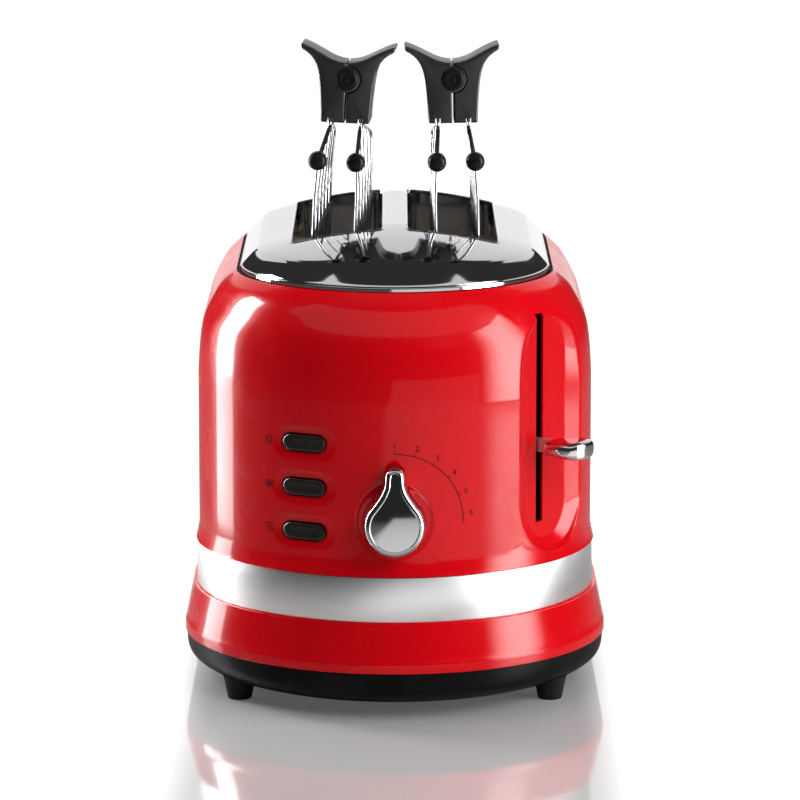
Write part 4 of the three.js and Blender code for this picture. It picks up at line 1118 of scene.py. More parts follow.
        def inside(station: float) -> bool:
            """Tells whether a column runs through the pocket."""
            level = millimetres(*PLAN.point(LAYOUT.waist_half, station % 4), 0)
            return 2 < station < 3 and abs(pocket.across_of(level)) < pocket.reach_across + self.slack

        columns = [k for k, station in enumerate(stations) if inside(station)]
        lines = [k for k, (_, z) in enumerate(rows) if pocket.low_z - self.slack < z < pocket.high_z + self.slack]
        doomed = [
            f for f in bm.faces
            if all(columns[0] <= v[column_layer] <= columns[-1] for v in f.verts)
            and all(lines[0] <= v[row_layer] <= lines[-1] for v in f.verts)
        ]
        gone = set(doomed)
        rim = [e for f in doomed for e in f.edges if sum(g in gone for g in e.link_faces) == 1]
        bmesh.ops.delete(bm, geom=doomed, context="FACES")
        spine = pocket.rings[0][1]
        seats: dict[tuple[float, ...], Triple] = {}
        for vert in {v for e in rim for v in e.verts}:
            across = pocket.across_of(vert.co)
            up = vert.co.z / MM - pocket.centre_z
            run, side = (up, across) if pocket.upright else (across, up)
            held = max(-spine, min(spine, run))
            share = held / spine if spine > 0 else 0.0
            away = Vector((run - held, side)).normalized()
            seats[self.key(vert)] = (share, away.x, away.y)
        for ring in pocket.rings:
            made = bmesh.ops.extrude_edge_only(bm, edges=rim)["geom"]
            rim = [e for e in made if isinstance(e, bmesh.types.BMEdge) and len(e.link_faces) == 1]
            moved: dict[tuple[float, ...], Triple] = {}
            for vert in {v for e in rim for v in e.verts}:
                share, ahead, aside = seats[self.key(vert)]
                run = share * ring[1] + ring[0] * ahead
                side = ring[0] * aside
                across, up = (side, run) if pocket.upright else (run, side)
                z = pocket.centre_z + up
                vert.co = pocket.place(across, pocket.level_at(ring, self.skin_out(pocket, across, z)), z)
                moved[self.key(vert)] = (share, ahead, aside)
            seats = moved
        if isinstance(pocket, LeverRecess):
            bmesh.ops.contextual_create(bm, geom=rim)

    @staticmethod
    def key(vert: bmesh.types.BMVert) -> tuple[float, ...]:
        """Names a vertex by its place, to find its copy after an extrusion."""
        return tuple(round(c, 8) for c in vert.co)

    def build(self) -> None:
        """Makes the shell."""
        pockets = self.pockets()
        stops = [self.bottom_z, self.opening_z]
        for pocket in pockets:
            stops.extend((pocket.low_z, pocket.high_z))
        rows = [(self.seat_half, self.seam_z), (self.seat_half, self.bottom_z)]
        rows.extend((self.half_at(z), z) for z in subdivided(stops, self.row_step))
        rows.extend((self.opening_half - inset, self.opening_z + rise) for inset, rise in self.opening_lip)
        stations = self.stations(pockets)
        bm = plan_sweep(rows, stations, closed=False)
        for pocket in pockets:
            self.sink(bm, stations, rows, pocket)
        bmesh.ops.recalc_face_normals(bm, faces=bm.faces)
        shell = thickened(made_object("painted_shell", bm), self.wall)
        corners = oblong(self.slot_half, *self.slot_out, LAYOUT.lever_across)
        level = [pockets[0].place(across, out, 0) / MM for across, out in corners]
        combined(shell, slab([(p.x, p.y) for p in level], self.slot_low_z, self.slot_high_z), Cut.AWAY)
        self.piece(shell, "root", Look.ENAMEL, "body_shell")


@dataclass
class Casing(Assembly):
    """The skirt, the steel band, the base with its feet, and what is set in it."""

    skirt_top_half: float = 91.8
    skirt_bottom_half: float = 95.95
    skirt_top_z: float = 44.2
    skirt_bottom_z: float = 22.7
    skirt_wall: float = 1.6
    skirt_steps: int = 8
    band_low_z: float = 44.5
    band_high_z: float = 64.8
    band_half: float = 90.2
    band_thick: float = 1.0
    base_half: float = 95.2
    base_bottom_half: float = 82.0
    base_bottom_z: float = 7.0
    base_wall: float = 2.2
    base_steps: int = 6
    tray_half: float = 52.5
    tray_low_z: float = 9.4
    tray_high_z: float = 19.4
    base_shares: tuple[Pair, ...] = ((0, 0), (0.47, 0.14), (0.83, 0.36), (0.97, 0.62), (1, 1))
    skirt_shares: tuple[Pair, ...] = (
        (0, 0), (0.14, 0.12), (0.4, 0.34), (0.62, 0.54), (0.76, 0.67), (0.86, 0.735), (0.95, 0.78), (0.995, 0.83),
        (1, 0.9), (1, 1),
    )
    skirt_seat: tuple[Pair, ...] = ((2.2, 8.0), (0.6, 8.0), (0.6, 0.0))
    skirt_round: float = 0.5
    band_round: float = 0.3
    base_gap: float = 0.3
    base_rim: tuple[Pair, ...] = ((94.6, 0.25), (92.0, 0.25), (92.0, 5.5))
    floor_halves: tuple[float, ...] = (0.0, 30.0, 60.0)
    tray_reach: Pair = (60.0, 170.0)
    foot_profile: tuple[Pair, ...] = (
        (0, 0), (4.6, 0), (5.2, 0.25), (5.5, 0.9), (5.9, 3.0), (7.0, 8.8), (7.6, 10.8), (0, 10.8),
    )
    bush_profile: tuple[Pair, ...] = (
        (3.0, -7.5), (3.9, -7.5), (3.9, 1.2), (4.9, 1.2), (4.9, 2.2), (4.4, 2.9), (3.9, 4.6), (3.4, 4.8), (3.0, 4.5),
        (3.0, -7.5),
    )
    bush_seat_share: float = 0.996
    bush_back: Pair = (8.5, 2.0)

    def skirt(self) -> None:
        """Makes the flared painted skirt, with its turned-in lower edge."""
        flare = self.skirt_bottom_half - self.skirt_top_half
        drop = self.skirt_top_z - self.skirt_bottom_z
        side = smooth_line([(self.skirt_top_half + out * flare, self.skirt_top_z - down * drop)
                            for out, down in self.skirt_shares], self.skirt_steps)
        inside = self.skirt_bottom_half - self.skirt_wall
        edge = rounded_line([side[-4], (self.skirt_bottom_half, self.skirt_bottom_z), (inside, self.skirt_bottom_z),
                             (side[-self.skirt_steps][0] - self.skirt_wall, side[-self.skirt_steps][1])],
                            self.skirt_round)
        inner = [(half - self.skirt_wall, z) for half, z in reversed(side[:-self.skirt_steps])]
        seat = [(LAYOUT.waist_half - inset, self.skirt_top_z + rise) for inset, rise in self.skirt_seat]
        self.hoop("painted_skirt", [*side[:-4], *edge, *inner, *seat], Look.ENAMEL, "lower_skirt")

    def band(self) -> None:
        """Makes the brushed band."""
        inner = self.band_half - self.band_thick
        corners = [(inner, self.band_low_z), (self.band_half, self.band_low_z), (self.band_half, self.band_high_z),
                   (inner, self.band_high_z)]
        self.hoop("brushed_steel_band", rounded_ring(corners, self.band_round, 3), Look.BAND, "steel_band")

    def base(self) -> None:
        """Makes the black base, open at its rear for the crumb tray."""
        spread = self.base_half - self.base_bottom_half
        rise = self.skirt_bottom_z - self.base_gap - self.base_bottom_z
        side = smooth_line([(self.base_bottom_half + out * spread, self.base_bottom_z + up * rise)
                            for out, up in self.base_shares], self.base_steps)
        rim = [(half, side[-1][1] + up) for half, up in self.base_rim]
        floor = [(half, self.base_bottom_z) for half in self.floor_halves]
        made = pressed("black_base", [*floor, *side, *rim], even_stations(*RING_PIECES), self.base_wall)
        mouth = slab(oblong(self.tray_half, *self.tray_reach), self.tray_low_z, self.tray_high_z)
        self.piece(combined(made, mouth, Cut.AWAY), "root", Look.BASE, "base_tray")

    def feet(self) -> None:
        """Makes the four feet, each tapering to its round pad."""
        for node in ("foot_front_left", "foot_front_right", "foot_rear_left", "foot_rear_right"):
            low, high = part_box(node)
            middle = (low + high) / 2
            place = Matrix.Translation((middle.x, middle.y, 0))
            made = made_object(f"{node}_pad", spun(self.foot_profile, ROUND_PIECES, place))
            self.piece(made, "root", Look.RUBBER, node)

    def grommet(self) -> None:
        """Makes the bush that lines the cord's hole at the rear left."""
        low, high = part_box("cord_inlet")
        middle = (low + high) / 2
        half = self.base_half * self.bush_seat_share
        past = middle.y / MM - BODY_Y - PLAN.straight_half
        turn = math.atan2(middle.x / MM / half**2, past / (half + PLAN.end_bulge) ** 2)
        axis = Matrix.Rotation(-turn, 4, "Z") @ Matrix.Rotation(-math.pi / 2, 4, "X")
        out = Vector((math.sin(turn), math.cos(turn), 0))
        reach = max(0.0, out.dot(Vector((low.x, high.y, middle.z)) - middle))
        back, least = (value * MM for value in self.bush_back)
        place = Matrix.Translation(middle + out * max(reach - back, least)) @ axis
        made = made_object("cord_bush", spun(self.bush_profile, ROUND_PIECES, place))
        self.piece(made, "root", Look.RUBBER, "cord_inlet")

    def build(self) -> None:
        """Makes every piece of the casing under the shell."""
        self.skirt()
        self.band()
        self.base()
        self.feet()
        self.grommet()


@dataclass
class TopPlate(Assembly):
    """The domed metal top with its two slots, and the gasket round it."""

    rim_half: float = 70.0
    rim_low_z: float = 184.9
    rim_z: float = 190.0
    crown_z: float = 209.0
    crown_half: float = 4.0
    wall: float = 1.0
    slot_centre: float = 26.05
    slot_half_width: float = 20.25
    slot_half_length: float = 70.0
    slot_corner: float = 3.0
    edge_low_z: float = 186.2
    edge_section: tuple[tuple[float, float | None], ...] = (
        (0.0, None), (0.0, -0.6), (0.02, -0.05), (0.16, 0.22), (0.45, 0.33), (0.8, 0.26), (1.1, -0.1), (1.0, -1.0),
        (0.95, None),
    )
    edge_piece: float = 4.0
    rim_round: float = 1.6
    rim_drop: float = 0.1
    line_steps: int = 8
    dome_pieces: tuple[int, int] = (96, 16)
    rim_overlap: float = 0.7
    crest: tuple[Pair, ...] = ((2.0, 0.06), (0.0, 0.08))
    cut_heights: Pair = (150.0, 240.0)
    gasket_corners: tuple[Pair, ...] = (
        (67.0, 181.95), (71.3, 181.95), (71.3, 187.5), (70.35, 187.5), (70.35, 184.3), (67.0, 184.3),
    )
    gasket_round: float = 0.4
    dome_shares: tuple[Pair, ...] = (
        (0, 0), (0.014, 0.08), (0.09, 0.36), (0.152, 0.485), (0.365, 0.68), (0.606, 0.845), (0.833, 0.95), (1, 1),
    )
    _dome: list[Pair] = field(default_factory=list)

    def __post_init__(self) -> None:
        """Works out the dome's line from its rim to its crest."""
        start = self.rim_half - self.rim_overlap
        reach = start - self.crown_half
        rise = self.crown_z - self.rim_z
        points = [(start - inward * reach, self.rim_z + up * rise) for inward, up in self.dome_shares]
        self._dome = smooth_line(points, self.line_steps)

    def height_at(self, x: float, y: float) -> float:
        """Gives the height of the dome over a point, in millimetres."""
        halves, heights = zip(*reversed(self._dome))
        return float(np.interp(PLAN.half_at(x, y), halves, heights))

    def slot_line(self, side: int, grow: float) -> list[Pair]:
        """Gives the outline of a slot.

        Args:
            side: -1 for the left slot and 1 for the right one.
            grow: How far outside the slot's edge the line lies.

        Returns:
            The outline's points in the row frame, in millimetres.
        """
        half_x = self.slot_half_width + grow
        half_y = self.slot_half_length + grow
        centre = side * self.slot_centre
        corners = [(centre + a * half_x, BODY_Y + b * half_y) for a, b in ((1, 1), (-1, 1), (-1, -1), (1, -1))]
        loop = [Vector(p) for p in rounded_line(corners, self.slot_corner + grow, 6, closed=True)]
        line: list[Pair] = []
        for a, b in zip(loop, loop[1:] + loop[:1]):
            count = max(1, math.ceil((b - a).length / self.edge_piece))
            line.extend(tuple(a.lerp(b, k / count)) for k in range(count))
        return line

    def plate(self) -> None:
        """Makes the dome, cut by both slots."""
        half = self.rim_half
        corners = [(half, self.rim_low_z), (half, self.rim_z - self.rim_drop), self._dome[3]]
        roll = rounded_line(corners, self.rim_round, self.line_steps)
        crest = [(half, self.crown_z + up) for half, up in self.crest]
        stations = even_stations(*self.dome_pieces)
        made = pressed("domed_top", [*roll[:-1], *self._dome[3:], *crest], stations, self.wall)
        for side in (-1, 1):
            combined(made, slab(self.slot_line(side, 0.0), *self.cut_heights), Cut.AWAY)
        self.piece(made, "root", Look.CHROME, "top_plate")

    def slot_edge(self, side: int, name: str) -> None:
        """Makes the turned-down edge of a slot.

        Args:
            side: -1 for the left slot and 1 for the right one.
            name: The piece's name.
        """
        lines = [self.slot_line(side, grow) for grow, _ in self.edge_section]
        count = len(lines[0])

        def place(i: int, j: int) -> Vector:
            """Sets a corner at its height over the dome, or at the turned-down edge's foot."""
            x, y = lines[j % len(lines)][i % count]
            rise = self.edge_section[j % len(lines)][1]
            return millimetres(x, y, self.edge_low_z if rise is None else self.height_at(x, y) + rise)

        bm = wrapped_grid(count, len(lines), place)
        bmesh.ops.recalc_face_normals(bm, faces=bm.faces)
        self.piece(made_object(name, bm), "root", Look.CHROME)

    def gasket(self) -> None:
        """Makes the black gasket between the dome's rim and the shell."""
        self.hoop("rim_gasket", rounded_ring(self.gasket_corners, self.gasket_round, 4), Look.RUBBER, "top_seal")

    def build(self) -> None:
        """Makes the plate, the slots' edges and the gasket."""
        self.plate()
        self.slot_edge(-1, "slot_edge_left")
        self.slot_edge(1, "slot_edge_right")
        self.gasket()


# Controls


def offset_loop(outline: Sequence[Sequence[float]], inset: float) -> list[Vector]:
    """Moves a closed outline inwards by the same distance all round.

    Args:
        outline: The outline's points, counter-clockwise.
        inset: How far inwards, in millimetres.

    Returns:
        The moved points, one for each of the outline's.
    """
    points = [Vector(p).to_2d() for p in outline]
    moved = []
    for before, point, after in zip([points[-1], *points], points, [*points[1:], points[0]]):
        back = (point - before).normalized()
        ahead = (after - point).normalized()
        inward = Vector((-back.y - ahead.y, back.x + ahead.x))
        moved.append(point + inward * (2 * inset / max(0.7, inward.length_squared)))
    return moved


def lofted(loops: Sequence[Sequence[Vector]]) -> BMesh:
    """Joins closed loops of equally many points into a skin and closes both its ends.

    Args:
        loops: The loops, in metres, each wound the same way.

    Returns:
        The closed mesh.
    """
    count = len(loops[0])
    bm = wrapped_grid(count, len(loops) - 1, lambda i, j: loops[j][i % count])
    ends = [e for e in bm.edges if len(e.link_faces) == 1]
    bmesh.ops.holes_fill(bm, edges=ends, sides=0)
    bmesh.ops.recalc_face_normals(bm, faces=bm.faces)
    return bm


def half_step_turns(count: int) -> list[float]:
    """Spreads turns evenly round a circle, the first half a step past its start."""
    return [FULL_TURN * (k + 0.5) / count for k in range(count)]


def gathered(parts: Sequence[BMesh]) -> BMesh:
    """Puts several meshes into one, and uses them up."""
    whole = bmesh.new()
    for part in parts:
        mesh = bpy.data.meshes.new("part")
        part.to_mesh(mesh)
        part.free()
        whole.from_mesh(mesh)
        bpy.data.meshes.remove(mesh)
    return whole


@dataclass
class Knob(Assembly):
    """The drop-shaped browning knob, with a bright raised border round its face."""

    bulb_radius: float = 13.8
    tip_reach: float = 21.8
    tip_radius: float = 4.8
    bulb_share: float = 0.66
    bulb_steps: int = 8
    line_steps: int = 5
    back_reach: float = 145.8
    depth: float = 14.9
    face_radius: float = 90.0
    face_low: float = 4.0
    neck: tuple[Pair, ...] = ((0.42, 0.74), (0.55, 0.59), (0.68, 0.46), (0.83, 0.37))
    border: tuple[Pair, ...] = (
        (0.5, 3.4), (0.58, 2.4), (0.78, 1.5), (1.15, 0.8), (1.65, 0.35), (2.25, 0.08), (2.75, 0.0), (2.9, 0.06),
        (3.0, 0.22), (3.15, 0.28), (3.4, 0.28),
    )
    face_shares: tuple[float, ...] = (0.15, 0.35, 0.6, 0.85, 1.0)
    sides: tuple[Pair, ...] = ((1.3, 0.0), (0.6, 0.5), (0.25, 1.2), (0.0, 3.0), (0.0, 4.5), (0.15, 7.0), (0.35, 9.5))

    def outline(self) -> list[Pair]:
        """Draws the drop, counter-clockwise as seen from the front, about the knob's middle."""
        side = []
        for k in range(self.bulb_steps + 1):
            turn = (-0.5 + k / self.bulb_steps * self.bulb_share) * math.pi
            side.append((self.bulb_radius * math.cos(turn), self.bulb_radius * math.sin(turn)))
        side.extend((self.bulb_radius * spread, self.tip_reach * reach) for reach, spread in self.neck)
        for k in range(4):
            turn = k / 3 * 0.5 * math.pi
            side.append((self.tip_radius * math.cos(turn), self.tip_reach + self.tip_radius * math.sin(turn)))
        far = [(-x, z) for x, z in reversed(side[1:-1])]
        whole = [*side, *far]
        line = smooth_line([*whole[-2:], *whole, *whole[:3]], self.line_steps)
        return line[2 * self.line_steps : (2 + len(whole)) * self.line_steps]

    def build(self) -> None:
        """Makes the knob."""
        outline = self.outline()

        def at(point: Vector, depth: float) -> Vector:
            """Sets a point of the drop at a depth in front of the knob's back."""
            return millimetres(point.x, BODY_Y - self.back_reach - depth, LAYOUT.knob_z + point.y)

        def crown(point: Vector) -> float:
            """Gives the depth of the domed face at a point."""
            away = point.x**2 + (point.y + self.face_low) ** 2
            return self.depth - away / (2 * self.face_radius)

        def side_depth(point: Vector, depth: float) -> float:
            """Keeps the side behind the border, where the face falls back."""
            edge = self.border[0][1]
            return depth * (crown(point) - edge) / (self.depth - edge)

        loops = [[at(p, side_depth(p, depth)) for p in offset_loop(outline, inset)] for inset, depth in self.sides]
        for inset, drop in self.border:
            loops.append([at(p, crown(p) - drop) for p in offset_loop(outline, inset)])
        edge = offset_loop(outline, self.border[-1][0])
        for share in self.face_shares:
            ring = [p.lerp(Vector((0.0, max(-1.0, min(self.tip_reach, p.y)))), share) for p in edge]
            loops.append([at(p, crown(p) - self.border[-1][1]) for p in ring])
        made = made_object("drop_knob", lofted(loops), TURNED_SHARP_DEG)
        self.piece(made, "browning_control", Look.KNOB, "browning_knob")


@dataclass
class Buttons(Assembly):
    """The three oval push buttons."""

    uses: tuple[str, ...] = ("stop", "defrost", "reheat")
    corners: int = 48
    spine_half: float = 5.7
    sections: tuple[Pair, ...] = (
        (1.6, -11.5), (1.6, -3.2), (5.3, -3.2), (5.3, -2.2), (3.65, -2.2), (3.65, -0.4), (3.62, 0.15), (3.5, 0.5),
        (3.2, 0.75), (2.75, 0.88), (2.2, 0.9), (1.2, 0.82), (0.3, 0.78),
    )

    def build(self) -> None:
        """Makes each button with its flange behind the shell."""
        for use, z in zip(self.uses, LAYOUT.button_heights):
            loops = []
            for radius, out in self.sections:
                loop = []
                for turn in half_step_turns(self.corners):
                    aside = math.copysign(self.spine_half, math.cos(turn)) + radius * math.cos(turn)
                    x = LAYOUT.button_x + aside
                    y = PLAN.front_y(LAYOUT.waist_half, x) - out
                    loop.append(millimetres(x, y, z + radius * math.sin(turn)))
                loops.append(loop)
            made = made_object(f"push_button_{use}", lofted(loops), TURNED_SHARP_DEG)
            self.piece(made, f"{use}_key", Look.BUTTON, f"button_{use}")


@dataclass
class Markings(Assembly):
    """The printed dial, its numbers and the signs beside the buttons, all of thin ink on the shell."""

    proud: float = 0.09
    ink_thick: float = 0.05
    ink_width: float = 0.34
    dial_radius: float = 30.0
    dial_sweep_deg: float = 93.0
    dial_pieces: int = 60
    tick_length: float = 1.3
    number_radius: float = 33.6
    number_size: float = 3.645
    number_turns: tuple[float, ...] = (0.0, 17.0, 34.0, 51.0, 68.0, 85.0)
    sign_x: float = -55.4
    ring_radii: Pair = (1.1, 1.75)
    ring_width: float = 0.42
    ring_points: int = 33
    flake_arms: int = 6
    flake_reach: float = 2.0
    flake_fork: float = 1.15
    branch_length: float = 0.75
    branch_width: float = 0.3
    branch_turn_deg: float = 45.0
    wave_z: float = 83.1
    wave_gap: float = 1.3
    wave_swing: float = 0.32
    wave_rise: float = 0.45
    wave_points: int = 17
    bar_z: float = 85.4
    bar_half: float = 1.9
    bar_width: float = 0.4

    def on_shell(self, x: float, z: float) -> Vector:
        """Sets a flat point on the shell's front."""
        return millimetres(x, PLAN.front_y(LAYOUT.waist_half, x) - self.proud, z)

    def ribbon(self, points: Sequence[Sequence[float]], width: float) -> BMesh:
        """Lays a thin line of ink along points given by x and z.

        Args:
            points: The line's points in millimetres.
            width: The line's width in millimetres.

        Returns:
            The line's mesh.
        """
        line = [Vector(p) for p in points]

        def place(i: int, j: int) -> Vector:
            """Sets one corner beside the line."""
            ahead = (line[min(i + 1, len(line) - 1)] - line[max(i - 1, 0)]).normalized()
            point = line[i] + Vector((-ahead.y, ahead.x)) * (width * (j - 0.5))
            return self.on_shell(point.x, point.y)

        return wrapped_grid(len(line) - 1, 1, place)

    def dial_point(self, turn_deg: float, radius: float) -> Pair:
        """Gives a point round the dial, from straight up and clockwise."""
        turn = math.radians(turn_deg)
        return radius * math.sin(turn), LAYOUT.knob_z + radius * math.cos(turn)

    def arc(self) -> list[BMesh]:
        """Draws the dial's arc with a short stroke at each number."""
        steps = self.dial_pieces
        arc = [self.dial_point(self.dial_sweep_deg * k / steps, self.dial_radius) for k in range(steps + 1)]
        reaches = (self.dial_radius, self.dial_radius + self.tick_length)
        ticks = [[self.dial_point(turn, reach) for reach in reaches] for turn in self.number_turns]
        return [self.ribbon(line, self.ink_width) for line in (arc, *ticks)]

    def signs(self) -> list[BMesh]:
        """Draws the stop, defrost and reheat signs."""
        x = self.sign_x
        stop_z, defrost_z, _ = LAYOUT.button_heights
        across, up = self.ring_radii
        turns = np.linspace(0, FULL_TURN, self.ring_points)
        ring = [(x + across * math.cos(t), stop_z + up * math.sin(t)) for t in turns]
        strokes = [self.ribbon(ring, self.ring_width)]
        centre = Vector((x, defrost_z))
        for k in range(self.flake_arms):
            turn = math.radians(90 + 360 / self.flake_arms * k)
            tip = Vector((math.cos(turn), math.sin(turn)))
            strokes.append(self.ribbon([centre, centre + tip * self.flake_reach], self.ink_width))
            fork = centre + tip * self.flake_fork
            for side in (-1, 1):
                branch = Matrix.Rotation(side * math.radians(self.branch_turn_deg), 2) @ tip
                strokes.append(self.ribbon([fork, fork + branch * self.branch_length], self.branch_width))
        for k in (-1, 0, 1):
            middle = x + self.wave_gap * k
            wave = [(middle + self.wave_swing * math.sin(t), self.wave_z + self.wave_rise * (t - math.pi))
                    for t in np.linspace(0, FULL_TURN, self.wave_points)]
            strokes.append(self.ribbon(wave, self.ink_width))
        bar = [(x + side * self.bar_half, self.bar_z) for side in (-1, 1)]
        return [*strokes, self.ribbon(bar, self.bar_width)]

    def numbers(self) -> list[BMesh]:
        """Sets the numbers round the dial."""
        placed = []
        for k, turn in enumerate(self.number_turns):
            curve = bpy.data.curves.new(f"number_{k + 1}", "FONT")
            curve.body = str(k + 1)
            curve.size = self.number_size
            curve.align_x = "CENTER"
            curve.align_y = "CENTER"
            curve.resolution_u = 4
            text = linked(curve.name, curve)
            flat = applied_mesh(text)
            bm = bmesh.new()
            bm.from_mesh(flat)
            x, z = self.dial_point(turn, self.number_radius)
            for vert in bm.verts:
                vert.co = self.on_shell(x + vert.co.x, z + vert.co.y)
            placed.append(bm)
            bpy.data.objects.remove(text)
            bpy.data.curves.remove(curve)
            bpy.data.meshes.remove(flat)
        return placed

    def build(self) -> None:
        """Lays every mark on the shell."""
        marks = {"dial_arc": self.arc(), "dial_numbers": self.numbers(), "button_signs": self.signs()}
        for name, strokes in marks.items():
            bm = gathered(strokes)
            facing = [f for f in bm.faces if f.normal.y > 0]
            bmesh.ops.reverse_faces(bm, faces=facing)
            self.piece(thickened(made_object(name, bm), self.ink_thick), "root", Look.INK)


@dataclass
class Lever(Assembly):
    """The plated paddle on the end of the lever's arm."""

    corners: int = 56
    centre_z: float = 117.0
    start: float = 4.4
    length: float = 18.6
    half_width: float = 10.0
    neck_height: float = 6.4
    end_height: float = 8.4
    across_power: float = 0.5
    up_power: float = 0.72
    shares: tuple[Triple, ...] = (
        (0, 0.78, -0.25), (0.02, 0.84, -0.05), (0.06, 0.93, 0), (0.16, 0.98, 0), (0.3, 1, 0.1), (0.42, 1, 0.7),
        (0.52, 1, 1), (0.72, 0.97, 1), (0.86, 0.83, 0.85), (0.94, 0.6, 0.45), (0.985, 0.32, -0.2), (1, 0.06, -0.9),
    )

    def build(self) -> None:
        """Makes the paddle."""
        recess = Pocket(LAYOUT.lever_middle, LAYOUT.lever_facing_deg, self.centre_z, False, 0, 0, 0)
        loops = []
        for reach, spread, swell in smooth_line(self.shares, 4):
            half = self.half_width * spread
            rise = (self.neck_height + swell * (self.end_height - self.neck_height)) / 2
            out = self.start + reach * self.length
            loop = []
            for turn in half_step_turns(self.corners):
                side = math.copysign(abs(math.cos(turn)) ** self.across_power, math.cos(turn))
                up = math.copysign(abs(math.sin(turn)) ** self.up_power, math.sin(turn))
                loop.append(recess.place(LAYOUT.lever_across + half * side, out, self.centre_z + rise * up))
            loops.append(loop)
        made = made_object("lever_handle", lofted(loops), TURNED_SHARP_DEG)
        self.piece(made, "carriage", Look.CHROME, "lever_paddle")


# Bread tongs


